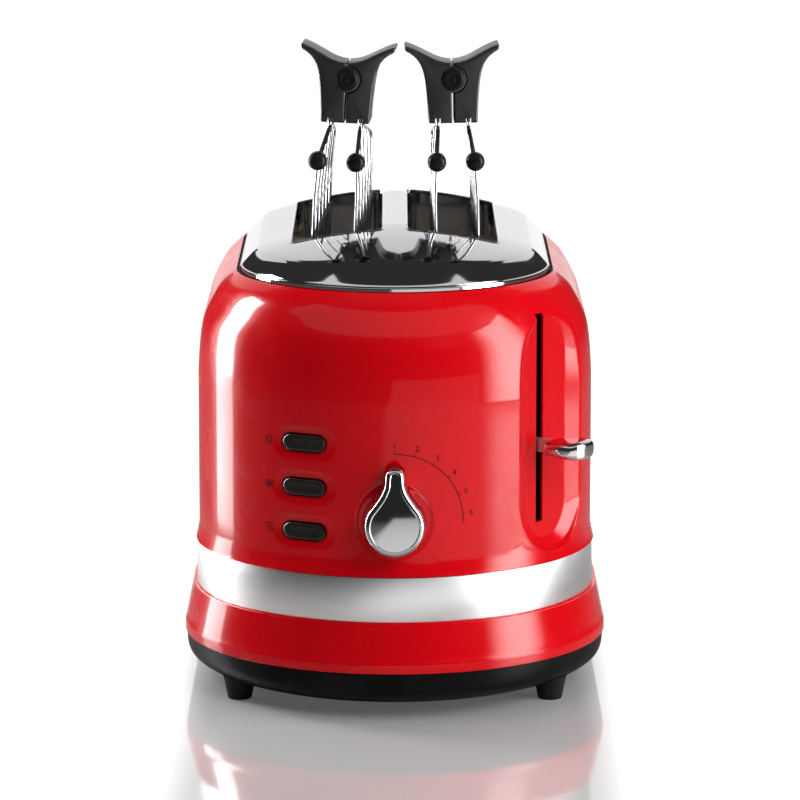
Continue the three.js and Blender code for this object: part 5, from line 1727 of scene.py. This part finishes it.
@dataclass
class BreadTongs(Assembly):
    """One pair of tongs: two handles on a pin, each with a wire cage and a black cap."""

    side: str = "left"
    middle_x: float = -21.5
    lean_deg: float = 2.5
    yaw_deg: float = -2.9
    pivot_z: float = 269.6
    split: float = 0.4
    drop: float = 21.6
    half_depth: float = 12.0
    knuckle_radius: float = 6.3
    knuckle_gap: float = 0.15
    knuckle_round: float = 0.5
    clear_radius: float = 6.8
    clear_gap: float = 0.05
    pin_radius: float = 1.8
    bore_radius: float = 2.1
    bore_overrun: float = 3.0
    bar_pieces: int = 48
    hub_pieces: int = 56
    head_gap: float = 0.3
    head_thick: float = 1.2
    head: tuple[Pair, ...] = (
        (1.3, 1.2), (1.6, 1.0), (2.0, 1.0), (2.3, 1.2), (4.2, 1.15), (4.75, 0.95), (5.05, 0.5), (5.1, 0.0),
    )
    valley_rise: float = 7.4
    wire_radius: float = 1.1
    bar_radius: float = 0.9
    wire_share: float = 0.7
    root_x: float = 7.0
    root_y: float = 9.0
    root_rise: float = 15.9
    corner_x: float = 8.6
    reach_y: float = 58.0
    corner_drop: float = 31.6
    bend_x: float = 9.5
    bend_drop: float = 49.6
    bottom_drop: float = 162.4
    frame_radii: tuple[float, ...] = (0, 2.2, 4.5, 30.0, 5.0)
    bend_radius: float = 30.0
    bend_steps: int = 8
    rail_shares: tuple[float, ...] = (0.05, 0.37, 0.69)
    rail_inset: float = 0.4
    upright_shares: tuple[float, ...] = (-0.6, -0.2, 0.2, 0.6)
    stub: float = 6.0
    stub_start: float = 5.0
    stub_radius: float = 3.0
    stub_steps: int = 6
    wire_sides: int = 14
    sleeve_sides: int = 20
    sleeve_radius: float = 0.95
    sleeve_ends: Pair = (3.5, 5.5)
    cap_gap: float = 0.3
    cap_radius: float = 4.2
    cap_length: float = 9.0
    cap_shares: tuple[Pair, ...] = (
        (0.0, 0.45), (0.33, 0.45), (0.33, 0.0), (0.75, 0.0), (0.9, 0.05), (1.0, 0.2), (1.0, 0.62), (0.94, 0.79),
        (0.78, 0.91), (0.5, 0.975), (0.22, 0.995), (0.0, 1.0),
    )
    foot_drop: float = 20.2
    foot_half: float = 11.3
    foot_round: float = 1.8
    notch_half: float = 1.6
    notch_reach: float = 10.4
    notch_top: float = 15.6
    groove_half: float = 1.25
    groove_rise: float = 2.2
    groove_depth: float = 3.2
    overrun: float = 2.0
    wing: tuple[Pair, ...] = (
        (-11.3, -18.0), (-11.45, -14.0), (-11.9, -7.5), (-12.5, -1.5), (-13.4, 3.4), (-14.8, 7.2), (-16.8, 10.0),
        (-19.2, 12.0), (-20.7, 12.9), (-21.3, 13.4), (-21.7, 14.6), (-21.5, 15.3), (-20.9, 15.4), (-19.2, 14.9),
        (-15.8, 13.4), (-11.3, 11.1), (-7.2, 9.0), (-3.4, 7.8),
    )
    rims: tuple[Pair, ...] = ((0.9, 0.0), (0.52, 0.09), (0.25, 0.27), (0.07, 0.56), (0.0, 0.9))

    @property
    def frame(self) -> Matrix:
        """Where the tongs' own frame, with its pivot at the origin, stands in the row frame."""
        yaw = Matrix.Rotation(math.radians(self.yaw_deg), 4, "Z")
        lean = Matrix.Rotation(math.radians(self.lean_deg), 4, "Y")
        return Matrix.Translation(millimetres(self.middle_x, BODY_Y, self.pivot_z)) @ (yaw @ lean)

    def outline(self) -> list[Pair]:
        """Draws the outline of the left-hand handle half, counter-clockwise as seen from the front."""
        corners = [(-self.split, -self.foot_drop), (-self.foot_half, -self.foot_drop)]
        foot = rounded_line([(-self.split, self.valley_rise), *corners, self.wing[0]], (0, 0, self.foot_round, 0), 5)
        wing = [Vector(p) for p in smooth_line(self.wing, 5)]
        loop = [*foot[:-1], *wing]
        loop.reverse()
        return [(p.x, p.y) for p in loop]

    def across(self, radius: float, low: float, high: float, soften: float = 0.0) -> BMesh:
        """Makes a round bar along the tongs' own Y.

        Args:
            radius: The bar's radius in millimetres.
            low: Where it starts.
            high: Where it ends.
            soften: How far its rims are rounded.

        Returns:
            The bar, in the tongs' own frame.
        """
        cut = 0.3 * soften
        rim = [(radius - soften, low), (radius - cut, low + cut), (radius, low + soften)]
        profile = [(0, low), *rim, (radius, high), (0, high)]
        return spun(profile, self.bar_pieces, Matrix.Rotation(-math.pi / 2, 4, "X"))

    def handle(self, half: str) -> None:
        """Makes one handle half.

        Args:
            half: "a" on the left or "b", the same turned half round.
        """
        outline = self.outline()
        layers = [(inset, -self.half_depth + rise) for inset, rise in self.rims]
        layers += [(inset, self.half_depth - rise) for inset, rise in reversed(self.rims)]
        loops = [[millimetres(p.x, y, p.y) for p in offset_loop(outline, inset)] for inset, y in layers]
        made = made_object(f"tongs_{self.side}_grip_{half}", lofted(loops))
        face = self.half_depth
        past = face + self.bore_overrun
        combined(made, self.across(self.clear_radius, -self.clear_gap, past), Cut.AWAY)
        combined(made, self.across(self.knuckle_radius, -face, -self.knuckle_gap, self.knuckle_round), Cut.JOIN)
        combined(made, self.across(self.bore_radius, -past, past), Cut.AWAY)
        below = -self.foot_drop - self.overrun
        notch = oblong(self.notch_half, below, -self.notch_top, -self.root_x)
        groove = oblong(self.groove_half, below, -self.foot_drop + self.groove_rise, -self.root_x)
        cuts = [(notch, 0.0, self.notch_reach), (groove, face, self.groove_depth), (groove, -face, self.groove_depth)]
        for corners, middle, reach in cuts:
            cutter = slab(corners, middle - reach, middle + reach, Matrix.Rotation(math.pi / 2, 4, "X"))
            combined(made, cutter, Cut.AWAY)
        turn = Matrix.Rotation(math.pi if half == "b" else 0.0, 4, "Z")
        made.data.transform(self.frame @ turn)
        self.piece(made, f"tongs_{self.side}_half_{half}", Look.GRIP, f"tongs_{self.side}_handle_{half}")

    def pin(self) -> None:
        """Makes the pivot pin with its ringed heads."""
        face = self.half_depth + self.head_gap
        near = [(0.0, self.head_thick), *self.head]
        profile = [*((r, -face - t) for r, t in near), (self.pin_radius, -face)]
        profile += [(self.pin_radius, face), *((r, face + t) for r, t in reversed(near))]
        place = self.frame @ Matrix.Rotation(-math.pi / 2, 4, "X")
        made = made_object(f"tongs_{self.side}_hub", spun(profile, self.hub_pieces, place))
        self.piece(made, f"tongs_{self.side}", Look.BLACK, f"tongs_{self.side}_pin")

    def shoulder(self, y: float) -> Pair:
        """Finds the sloping top wire at a place along the cage.

        Args:
            y: The place along the cage, in millimetres from its middle.

        Returns:
            How far out the wire is there, and its height from the pivot, in millimetres.
        """
        start = self.drop + self.wire_radius
        share = (abs(y) - self.root_y) / (self.reach_y - self.root_y)
        return self.root_x + share * (self.corner_x - self.root_x), -start - share * (self.corner_drop - start)

    def cage(self, half: str) -> None:
        """Makes one wire cage with its stub for the cap.

        Args:
            half: "a" on the left or "b" on the right.
        """
        sign = -1 if half == "a" else 1

        def at(x: float, y: float, z: float) -> Vector:
            """Mirrors a point for the left cage."""
            return Vector((sign * x, y, z))

        def on_top(y: float) -> Vector:
            """Gives the point of the sloping top wire at a place along the cage."""
            x, z = self.shoulder(y)
            return at(x, y, z)

        ends = [[
            at(self.root_x, end * self.root_y, -self.root_rise),
            at(self.root_x, end * self.root_y, -self.drop - self.wire_radius),
            at(self.corner_x, end * self.reach_y, -self.corner_drop),
            at(self.bend_x, end * self.reach_y, -self.bend_drop),
            at(self.bend_x, end * self.reach_y, -self.bottom_drop),
        ] for end in (-1, 1)]
        radii = [*self.frame_radii, *reversed(self.frame_radii)]
        thick = self.wire_share * self.wire_radius
        thin = self.wire_share * self.bar_radius
        lines = [(rounded_line([*ends[0], *reversed(ends[1])], radii, self.bend_steps), thick)]
        for share in self.rail_shares:
            z = -self.bend_drop - share * (self.bottom_drop - self.bend_drop)
            reach = self.reach_y - self.rail_inset
            lines.append(([at(self.bend_x, -reach, z), at(self.bend_x, reach, z)], thin))
        for share in self.upright_shares:
            y = share * self.reach_y
            upright = [on_top(y), at(self.bend_x, y, -self.bend_drop), at(self.bend_x, y, -self.bottom_drop)]
            lines.append((rounded_line(upright, self.bend_radius, self.bend_steps), thin))
        stub = [on_top(-self.reach_y + self.stub_start), at(self.corner_x, -self.reach_y, -self.corner_drop),
                at(self.corner_x, -self.reach_y - self.stub, -self.corner_drop)]
        lines.append((rounded_line(stub, self.stub_radius, self.stub_steps), thick))
        body = f"tongs_{self.side}_half_{half}"
        bm = wires(lines, self.wire_sides, self.frame)
        made = made_object(f"tongs_{self.side}_wires_{half}", bm, WIRE_SHARP_DEG)
        self.piece(made, body, Look.WIRE, f"tongs_{self.side}_cage_{half}")
        near, far = self.sleeve_ends
        sleeve = [on_top(-self.root_y - near), on_top(-self.reach_y + far)]
        bm = wires([(sleeve, self.sleeve_radius)], self.sleeve_sides, self.frame)
        self.piece(made_object(f"tongs_{self.side}_sleeve_{half}", bm, WIRE_SHARP_DEG), body, Look.RUBBER)

    def cap(self, half: str) -> None:
        """Makes the ball-like cap on the front end of a cage.

        Args:
            half: "a" on the left or "b" on the right.
        """
        sign = -1 if half == "a" else 1
        profile = [(r * self.cap_radius, z * self.cap_length) for r, z in self.cap_shares]
        y = -self.reach_y - self.wire_radius - self.cap_gap
        start = millimetres(sign * self.corner_x, y, -self.corner_drop)
        place = self.frame @ Matrix.Translation(start) @ Matrix.Rotation(math.pi / 2, 4, "X")
        made = made_object(f"tongs_{self.side}_tip_{half}", spun(profile, ROUND_PIECES, place), TURNED_SHARP_DEG)
        self.piece(made, f"tongs_{self.side}_half_{half}", Look.BLACK, f"tongs_{self.side}_cap_{half}")

    def build(self) -> None:
        """Makes every piece of the tongs."""
        self.pin()
        for half in ("a", "b"):
            self.handle(half)
            self.cage(half)
            self.cap(half)


# Inside


@dataclass
class Innards(Assembly):
    """The CAD's own pieces that stay in view, each given its finish, and the carriage's spring."""

    nodes: tuple[tuple[Look, tuple[str, ...]], ...] = (
        (Look.STEEL, (
            "crumb_tray", "hold_magnet", "bread_guard_outer_left", "bread_guard_inner_left", "bread_guard_inner_right",
            "bread_guard_outer_right", "carriage_plate", "latch_keeper", "lever_arm", "guide_rod_left",
            "guide_rod_right", "bread_rack_left", "bread_rack_right", "browning_shaft",
        )),
        (Look.OVEN, ("chassis_front", "chassis_rear", "side_reflector_left", "side_reflector_right")),
        (Look.MICA, ("heater_left", "heater_centre", "heater_right")),
        (Look.BLACK, ("switch_stop", "switch_defrost", "switch_reheat")),
        (Look.BUTTON, ("terminal_block", "browning_dial_body")),
        (Look.BOARD, ("control_board",)),
    )
    spring_y: float = -81.4
    spring_radius: float = 3.6
    spring_wire: float = 0.45
    spring_turns: int = 7
    turn_pieces: int = 16
    wire_sides: int = 8

    def spring(self) -> None:
        """Winds the carriage's spring."""
        low, high = (corner.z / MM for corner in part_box("carriage_spring"))
        steps = self.turn_pieces * self.spring_turns
        climb = (high - low - 2 * self.spring_wire) / steps
        line = []
        for k in range(steps + 1):
            turn = FULL_TURN * k / self.turn_pieces
            level = self.spring_radius * Vector((math.cos(turn), math.sin(turn)))
            line.append(Vector((level.x, self.spring_y + level.y, low + self.spring_wire + climb * k)))
        made = made_object("lift_spring", wires([(line, self.spring_wire)], self.wire_sides, Matrix.Identity(4)))
        self.finishes.dress(made, Look.STEEL)
        millimetres(0, self.spring_y, high)
        millimetres(0, self.spring_y, low)
        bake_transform(made)
        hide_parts("carriage_spring")

    def build(self) -> None:
        """Puts each finish on its CAD nodes, and winds the spring."""
        self.spring()
        for look, names in self.nodes:
            for name in names:
                self.finishes.dress(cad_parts[name], look)


# Studio


@dataclass(frozen=True)
class Panel:
    """A light panel that stands in the studio and shines from its front, softer towards its edges."""

    name: str
    bearing_deg: float
    distance: float
    low: float
    high: float
    width: float
    radiance: float
    soft: float
    glossy_boost: float
    dim_below: float = 0.0
    dim_share: float = 1.0


@dataclass(frozen=True)
class Lamp:
    """A large soft lamp that lights the colours and isn't mirrored by gloss or metal."""

    name: str
    place: Triple
    size: float
    power: float


@dataclass(frozen=True)
class Sheet:
    """A curved white sheet round the toaster, part of a sphere, wider or narrower towards its top."""

    name: str
    middle_deg: float
    lifts_deg: tuple[float, ...]
    halves_deg: tuple[float, ...]
    light: Pair
    radius: float
    arch_deg: float


@dataclass
class Studio:
    """The pale floor, the white backdrop, the soft lights and the camera."""

    floor_size: float = 6.0
    floor_stops: Stops = ((0.3, (0.6107, 0.6107, 0.6107)), (0.7, (0.62, 0.62, 0.62)))
    floor_roughness: Pair = (0.045, 0.075)
    floor_index: float = 1.7
    floor_glow: Pair = (0.08, 1.0)
    white_from: Pair = (0.08, 0.12)
    white_behind: Pair = (0.0, 0.25)
    white_before: Pair = (-0.5, -0.28)
    front_glow: float = 0.75
    front_from_x: Pair = (-0.11, -0.06)
    front_from_y: Pair = (-0.35, -0.22)
    room_light: float = 0.035
    end_soft: float = 0.05
    dim_edge: float = 0.003
    sheet_grid: tuple[int, int] = (32, 24)
    lamp_aim: Triple = (0.0, 0.0, 0.12)
    lens: float = 211.05
    sensor: float = 36.0
    shift: float = 0.0065
    clip: float = 0.01
    camera_place: Triple = (0.0, -2.1501, 0.4982)
    camera_tilt_deg: float = 80.0
    lamps: tuple[Lamp, ...] = (
        Lamp("front_fill", (0.85, -1.35, 1.0), 0.6, 8.0),
        Lamp("top_fill", (0.0, 0.15, 1.5), 0.8, 5.0),
    )
    panels: tuple[Panel, ...] = (
        Panel("left_strip", 166.5, 0.385, 0.0, 0.42, 0.13, 10.5, 0.06, 3.0, 0.11, 0.36),
        Panel("right_wide", -22.0, 0.9, 0.0, 0.8, 0.66, 4.4, 0.8, 3.9),
    )
    sheets: tuple[Sheet, ...] = (
        Sheet("studio_backdrop", 90.0, (0.0, 12.0, 28.0, 44.0), (15.0, 15.0, 36.0, 50.0), (1.1, 0.78), 1.5, 8.0),
        Sheet("studio_canopy", 270.0, (40.0, 62.0), (85.0, 85.0), (0.8, 0.8), 2.4, 0.0),
    )

    def floor(self) -> None:
        """Lays the floor."""
        bm = bmesh.new()
        bmesh.ops.create_grid(bm, x_segments=8, y_segments=8, size=self.floor_size)
        shader = Shader("studio_floor")
        shader.plain(IOR=self.floor_index, Emission_Color=WHITE)
        grain = shader.noise(3.0, 2.0)
        shader.feed("Base Color", shader.tint(grain, self.floor_stops))
        shader.feed("Roughness", shader.spread(grain, *self.floor_roughness))
        x, y = shader.axis("X"), shader.axis("Y")
        low, high = self.floor_glow
        aside = shader.spread(shader.counted("ABSOLUTE", x), low, high, *self.white_from, smooth=True)
        behind = shader.spread(y, low, high, *self.white_behind, smooth=True)
        ahead = shader.spread(y, high, low, *self.white_before, smooth=True)
        glow = shader.counted("MAXIMUM", shader.counted("MAXIMUM", aside, behind), ahead)
        seen = shader.counted("MULTIPLY", shader.ray("Is Camera Ray"), glow)
        across = shader.spread(x, 0.0, self.front_glow, *self.front_from_x)
        before = shader.spread(y, 1.0, 0.0, *self.front_from_y)
        front = shader.counted("MULTIPLY", across, before)
        mirrored = shader.counted("MULTIPLY", shader.ray("Is Glossy Ray"), front)
        shader.feed("Emission Strength", shader.counted("ADD", seen, mirrored))
        self.staged(made_object("studio_floor", bm), shader)

    def room(self) -> None:
        """Makes the room white to the camera and nearly dark to everything else."""
        world = bpy.data.worlds.new("white_room")
        bpy.context.scene.world = world
        world.use_nodes = True
        tree = world.node_tree
        rays = tree.nodes.new("ShaderNodeLightPath")
        mix = tree.nodes.new("ShaderNodeMixShader")
        tree.links.new(rays.outputs["Is Camera Ray"], mix.inputs["Fac"])
        back = next(n for n in tree.nodes if n.type == "BACKGROUND")
        seen = tree.nodes.new("ShaderNodeBackground")
        for node, strength, target in ((back, self.room_light, mix.inputs[1]), (seen, 1.0, mix.inputs[2])):
            node.inputs["Color"].default_value = WHITE
            node.inputs["Strength"].default_value = strength
            tree.links.new(node.outputs["Background"], target)
        output = next(n for n in tree.nodes if n.type == "OUTPUT_WORLD")
        tree.links.new(mix.outputs["Shader"], output.inputs["Surface"])

    @staticmethod
    def staged(made: bpy.types.Object, shader: Shader) -> None:
        """Gives a part of the studio its material."""
        made.data.materials.append(shader.material)

    @staticmethod
    def glowing(name: str) -> tuple[Shader, bpy.types.Node]:
        """Starts a material that only shines, and gives its emission node too."""
        shader = Shader(name)
        glow = shader.tree.nodes.new("ShaderNodeEmission")
        output = next(n for n in shader.tree.nodes if n.type == "OUTPUT_MATERIAL")
        shader.link(glow.outputs["Emission"], output.inputs["Surface"])
        shader.tree.nodes.remove(shader.base)
        return shader, glow

    def hang(self, sheet: Sheet) -> None:
        """Hangs one curved white sheet, which may be dimmer towards its top.

        Args:
            sheet: The sheet's place and light.
        """
        low, high = sheet.lifts_deg[0], sheet.lifts_deg[-1]
        columns, rows = self.sheet_grid

        def place(i: int, j: int) -> Vector:
            """Sets one corner of the curved sheet."""
            aside = 2 * i / columns - 1
            lift = low + (high + sheet.arch_deg * aside**2 - low) * j / rows
            half = float(np.interp(lift, sheet.lifts_deg, sheet.halves_deg))
            turn, lean = math.radians(sheet.middle_deg + aside * half), math.radians(lift)
            level = sheet.radius * math.cos(lean)
            return Vector((level * math.cos(turn), level * math.sin(turn), sheet.radius * math.sin(lean)))

        made = made_object(sheet.name, wrapped_grid(columns, rows, place))
        shader, glow = self.glowing(sheet.name)
        ends = (sheet.radius * math.sin(math.radians(lift)) for lift in (low, high))
        shader.link(shader.spread(shader.axis("Z"), *sheet.light, *ends), glow.inputs["Strength"])
        made.visible_camera = False
        self.staged(made, shader)

    def light(self, panel: Panel) -> None:
        """Stands one panel in the studio, facing the toaster.

        Args:
            panel: The panel's place, size and light.
        """
        bm = bmesh.new()
        bmesh.ops.create_grid(bm, x_segments=1, y_segments=1, size=0.5)
        half_height = (panel.high - panel.low) / 2
        bmesh.ops.scale(bm, vec=(panel.width, 2 * half_height, 1.0), verts=bm.verts)
        made = made_object(panel.name, bm)
        shader, glow = self.glowing(panel.name)
        edge = panel.dim_below - panel.low - half_height
        strength = shader.spread(shader.axis("Y"), panel.dim_share, 1.0, edge - self.dim_edge, edge + self.dim_edge)
        glossy = panel.radiance * panel.glossy_boost
        boost = shader.spread(shader.ray("Is Glossy Ray"), panel.radiance, glossy, 0.0, 1.0)
        strength = shader.counted("MULTIPLY", strength, boost)
        for axis, half, soft in (("X", panel.width / 2, panel.soft), ("Y", half_height, self.end_soft)):
            size = shader.counted("ABSOLUTE", shader.axis(axis))
            fade = shader.spread(size, 1.0, 0.0, half * (1 - soft), half, smooth=True)
            strength = shader.counted("MULTIPLY", strength, fade)
        shader.link(strength, glow.inputs["Strength"])
        turn = math.radians(panel.bearing_deg)
        made.location = (panel.distance * math.cos(turn), panel.distance * math.sin(turn), panel.low + half_height)
        made.rotation_euler = (math.pi / 2, 0.0, turn - math.pi / 2)
        made.visible_camera = False
        self.staged(made, shader)

    def lamp(self, lamp: Lamp) -> None:
        """Hangs one soft lamp, turned to the toaster.

        Args:
            lamp: The lamp's place, size and power.
        """
        light = bpy.data.lights.new(lamp.name, "AREA")
        light.size = lamp.size
        light.energy = lamp.power
        made = linked(lamp.name, light)
        made.location = lamp.place
        made.rotation_euler = (Vector(self.lamp_aim) - made.location).to_track_quat("-Z", "Y").to_euler()
        made.visible_glossy = False

    def camera(self) -> None:
        """Sets the camera as in the photo: a long lens a little above the toaster."""
        lens = bpy.data.cameras.new("photo_camera")
        lens.lens = self.lens
        lens.sensor_width = self.sensor
        lens.shift_x = self.shift
        lens.clip_start = self.clip
        made = linked(lens.name, lens)
        made.location = self.camera_place
        made.rotation_euler = (math.radians(self.camera_tilt_deg), 0.0, 0.0)
        bpy.context.scene.camera = made

    def build(self) -> None:
        """Sets up the studio."""
        self.floor()
        self.room()
        for lamp in self.lamps:
            self.lamp(lamp)
        for sheet in self.sheets:
            self.hang(sheet)
        for panel in self.panels:
            self.light(panel)
        bpy.context.scene.view_settings.view_transform = "Standard"


def main() -> None:
    """Builds the toaster in its studio."""
    logging.basicConfig(level=logging.INFO, format="%(name)s: %(message)s")
    studio = Studio()
    studio.camera()
    finishes = Finishes()
    kinds = (BodyShell, Casing, TopPlate, Knob, Buttons, Markings, Lever, BreadTongs)
    right_tongs = BreadTongs(finishes, side="right", middle_x=26.4, lean_deg=-1.0, yaw_deg=0.5)
    for assembly in (*(kind(finishes) for kind in kinds), right_tongs, Innards(finishes)):
        assembly.build()
        LOG.info("%s is built", type(assembly).__name__)
    studio.build()


if __name__ == "__main__":
    main()
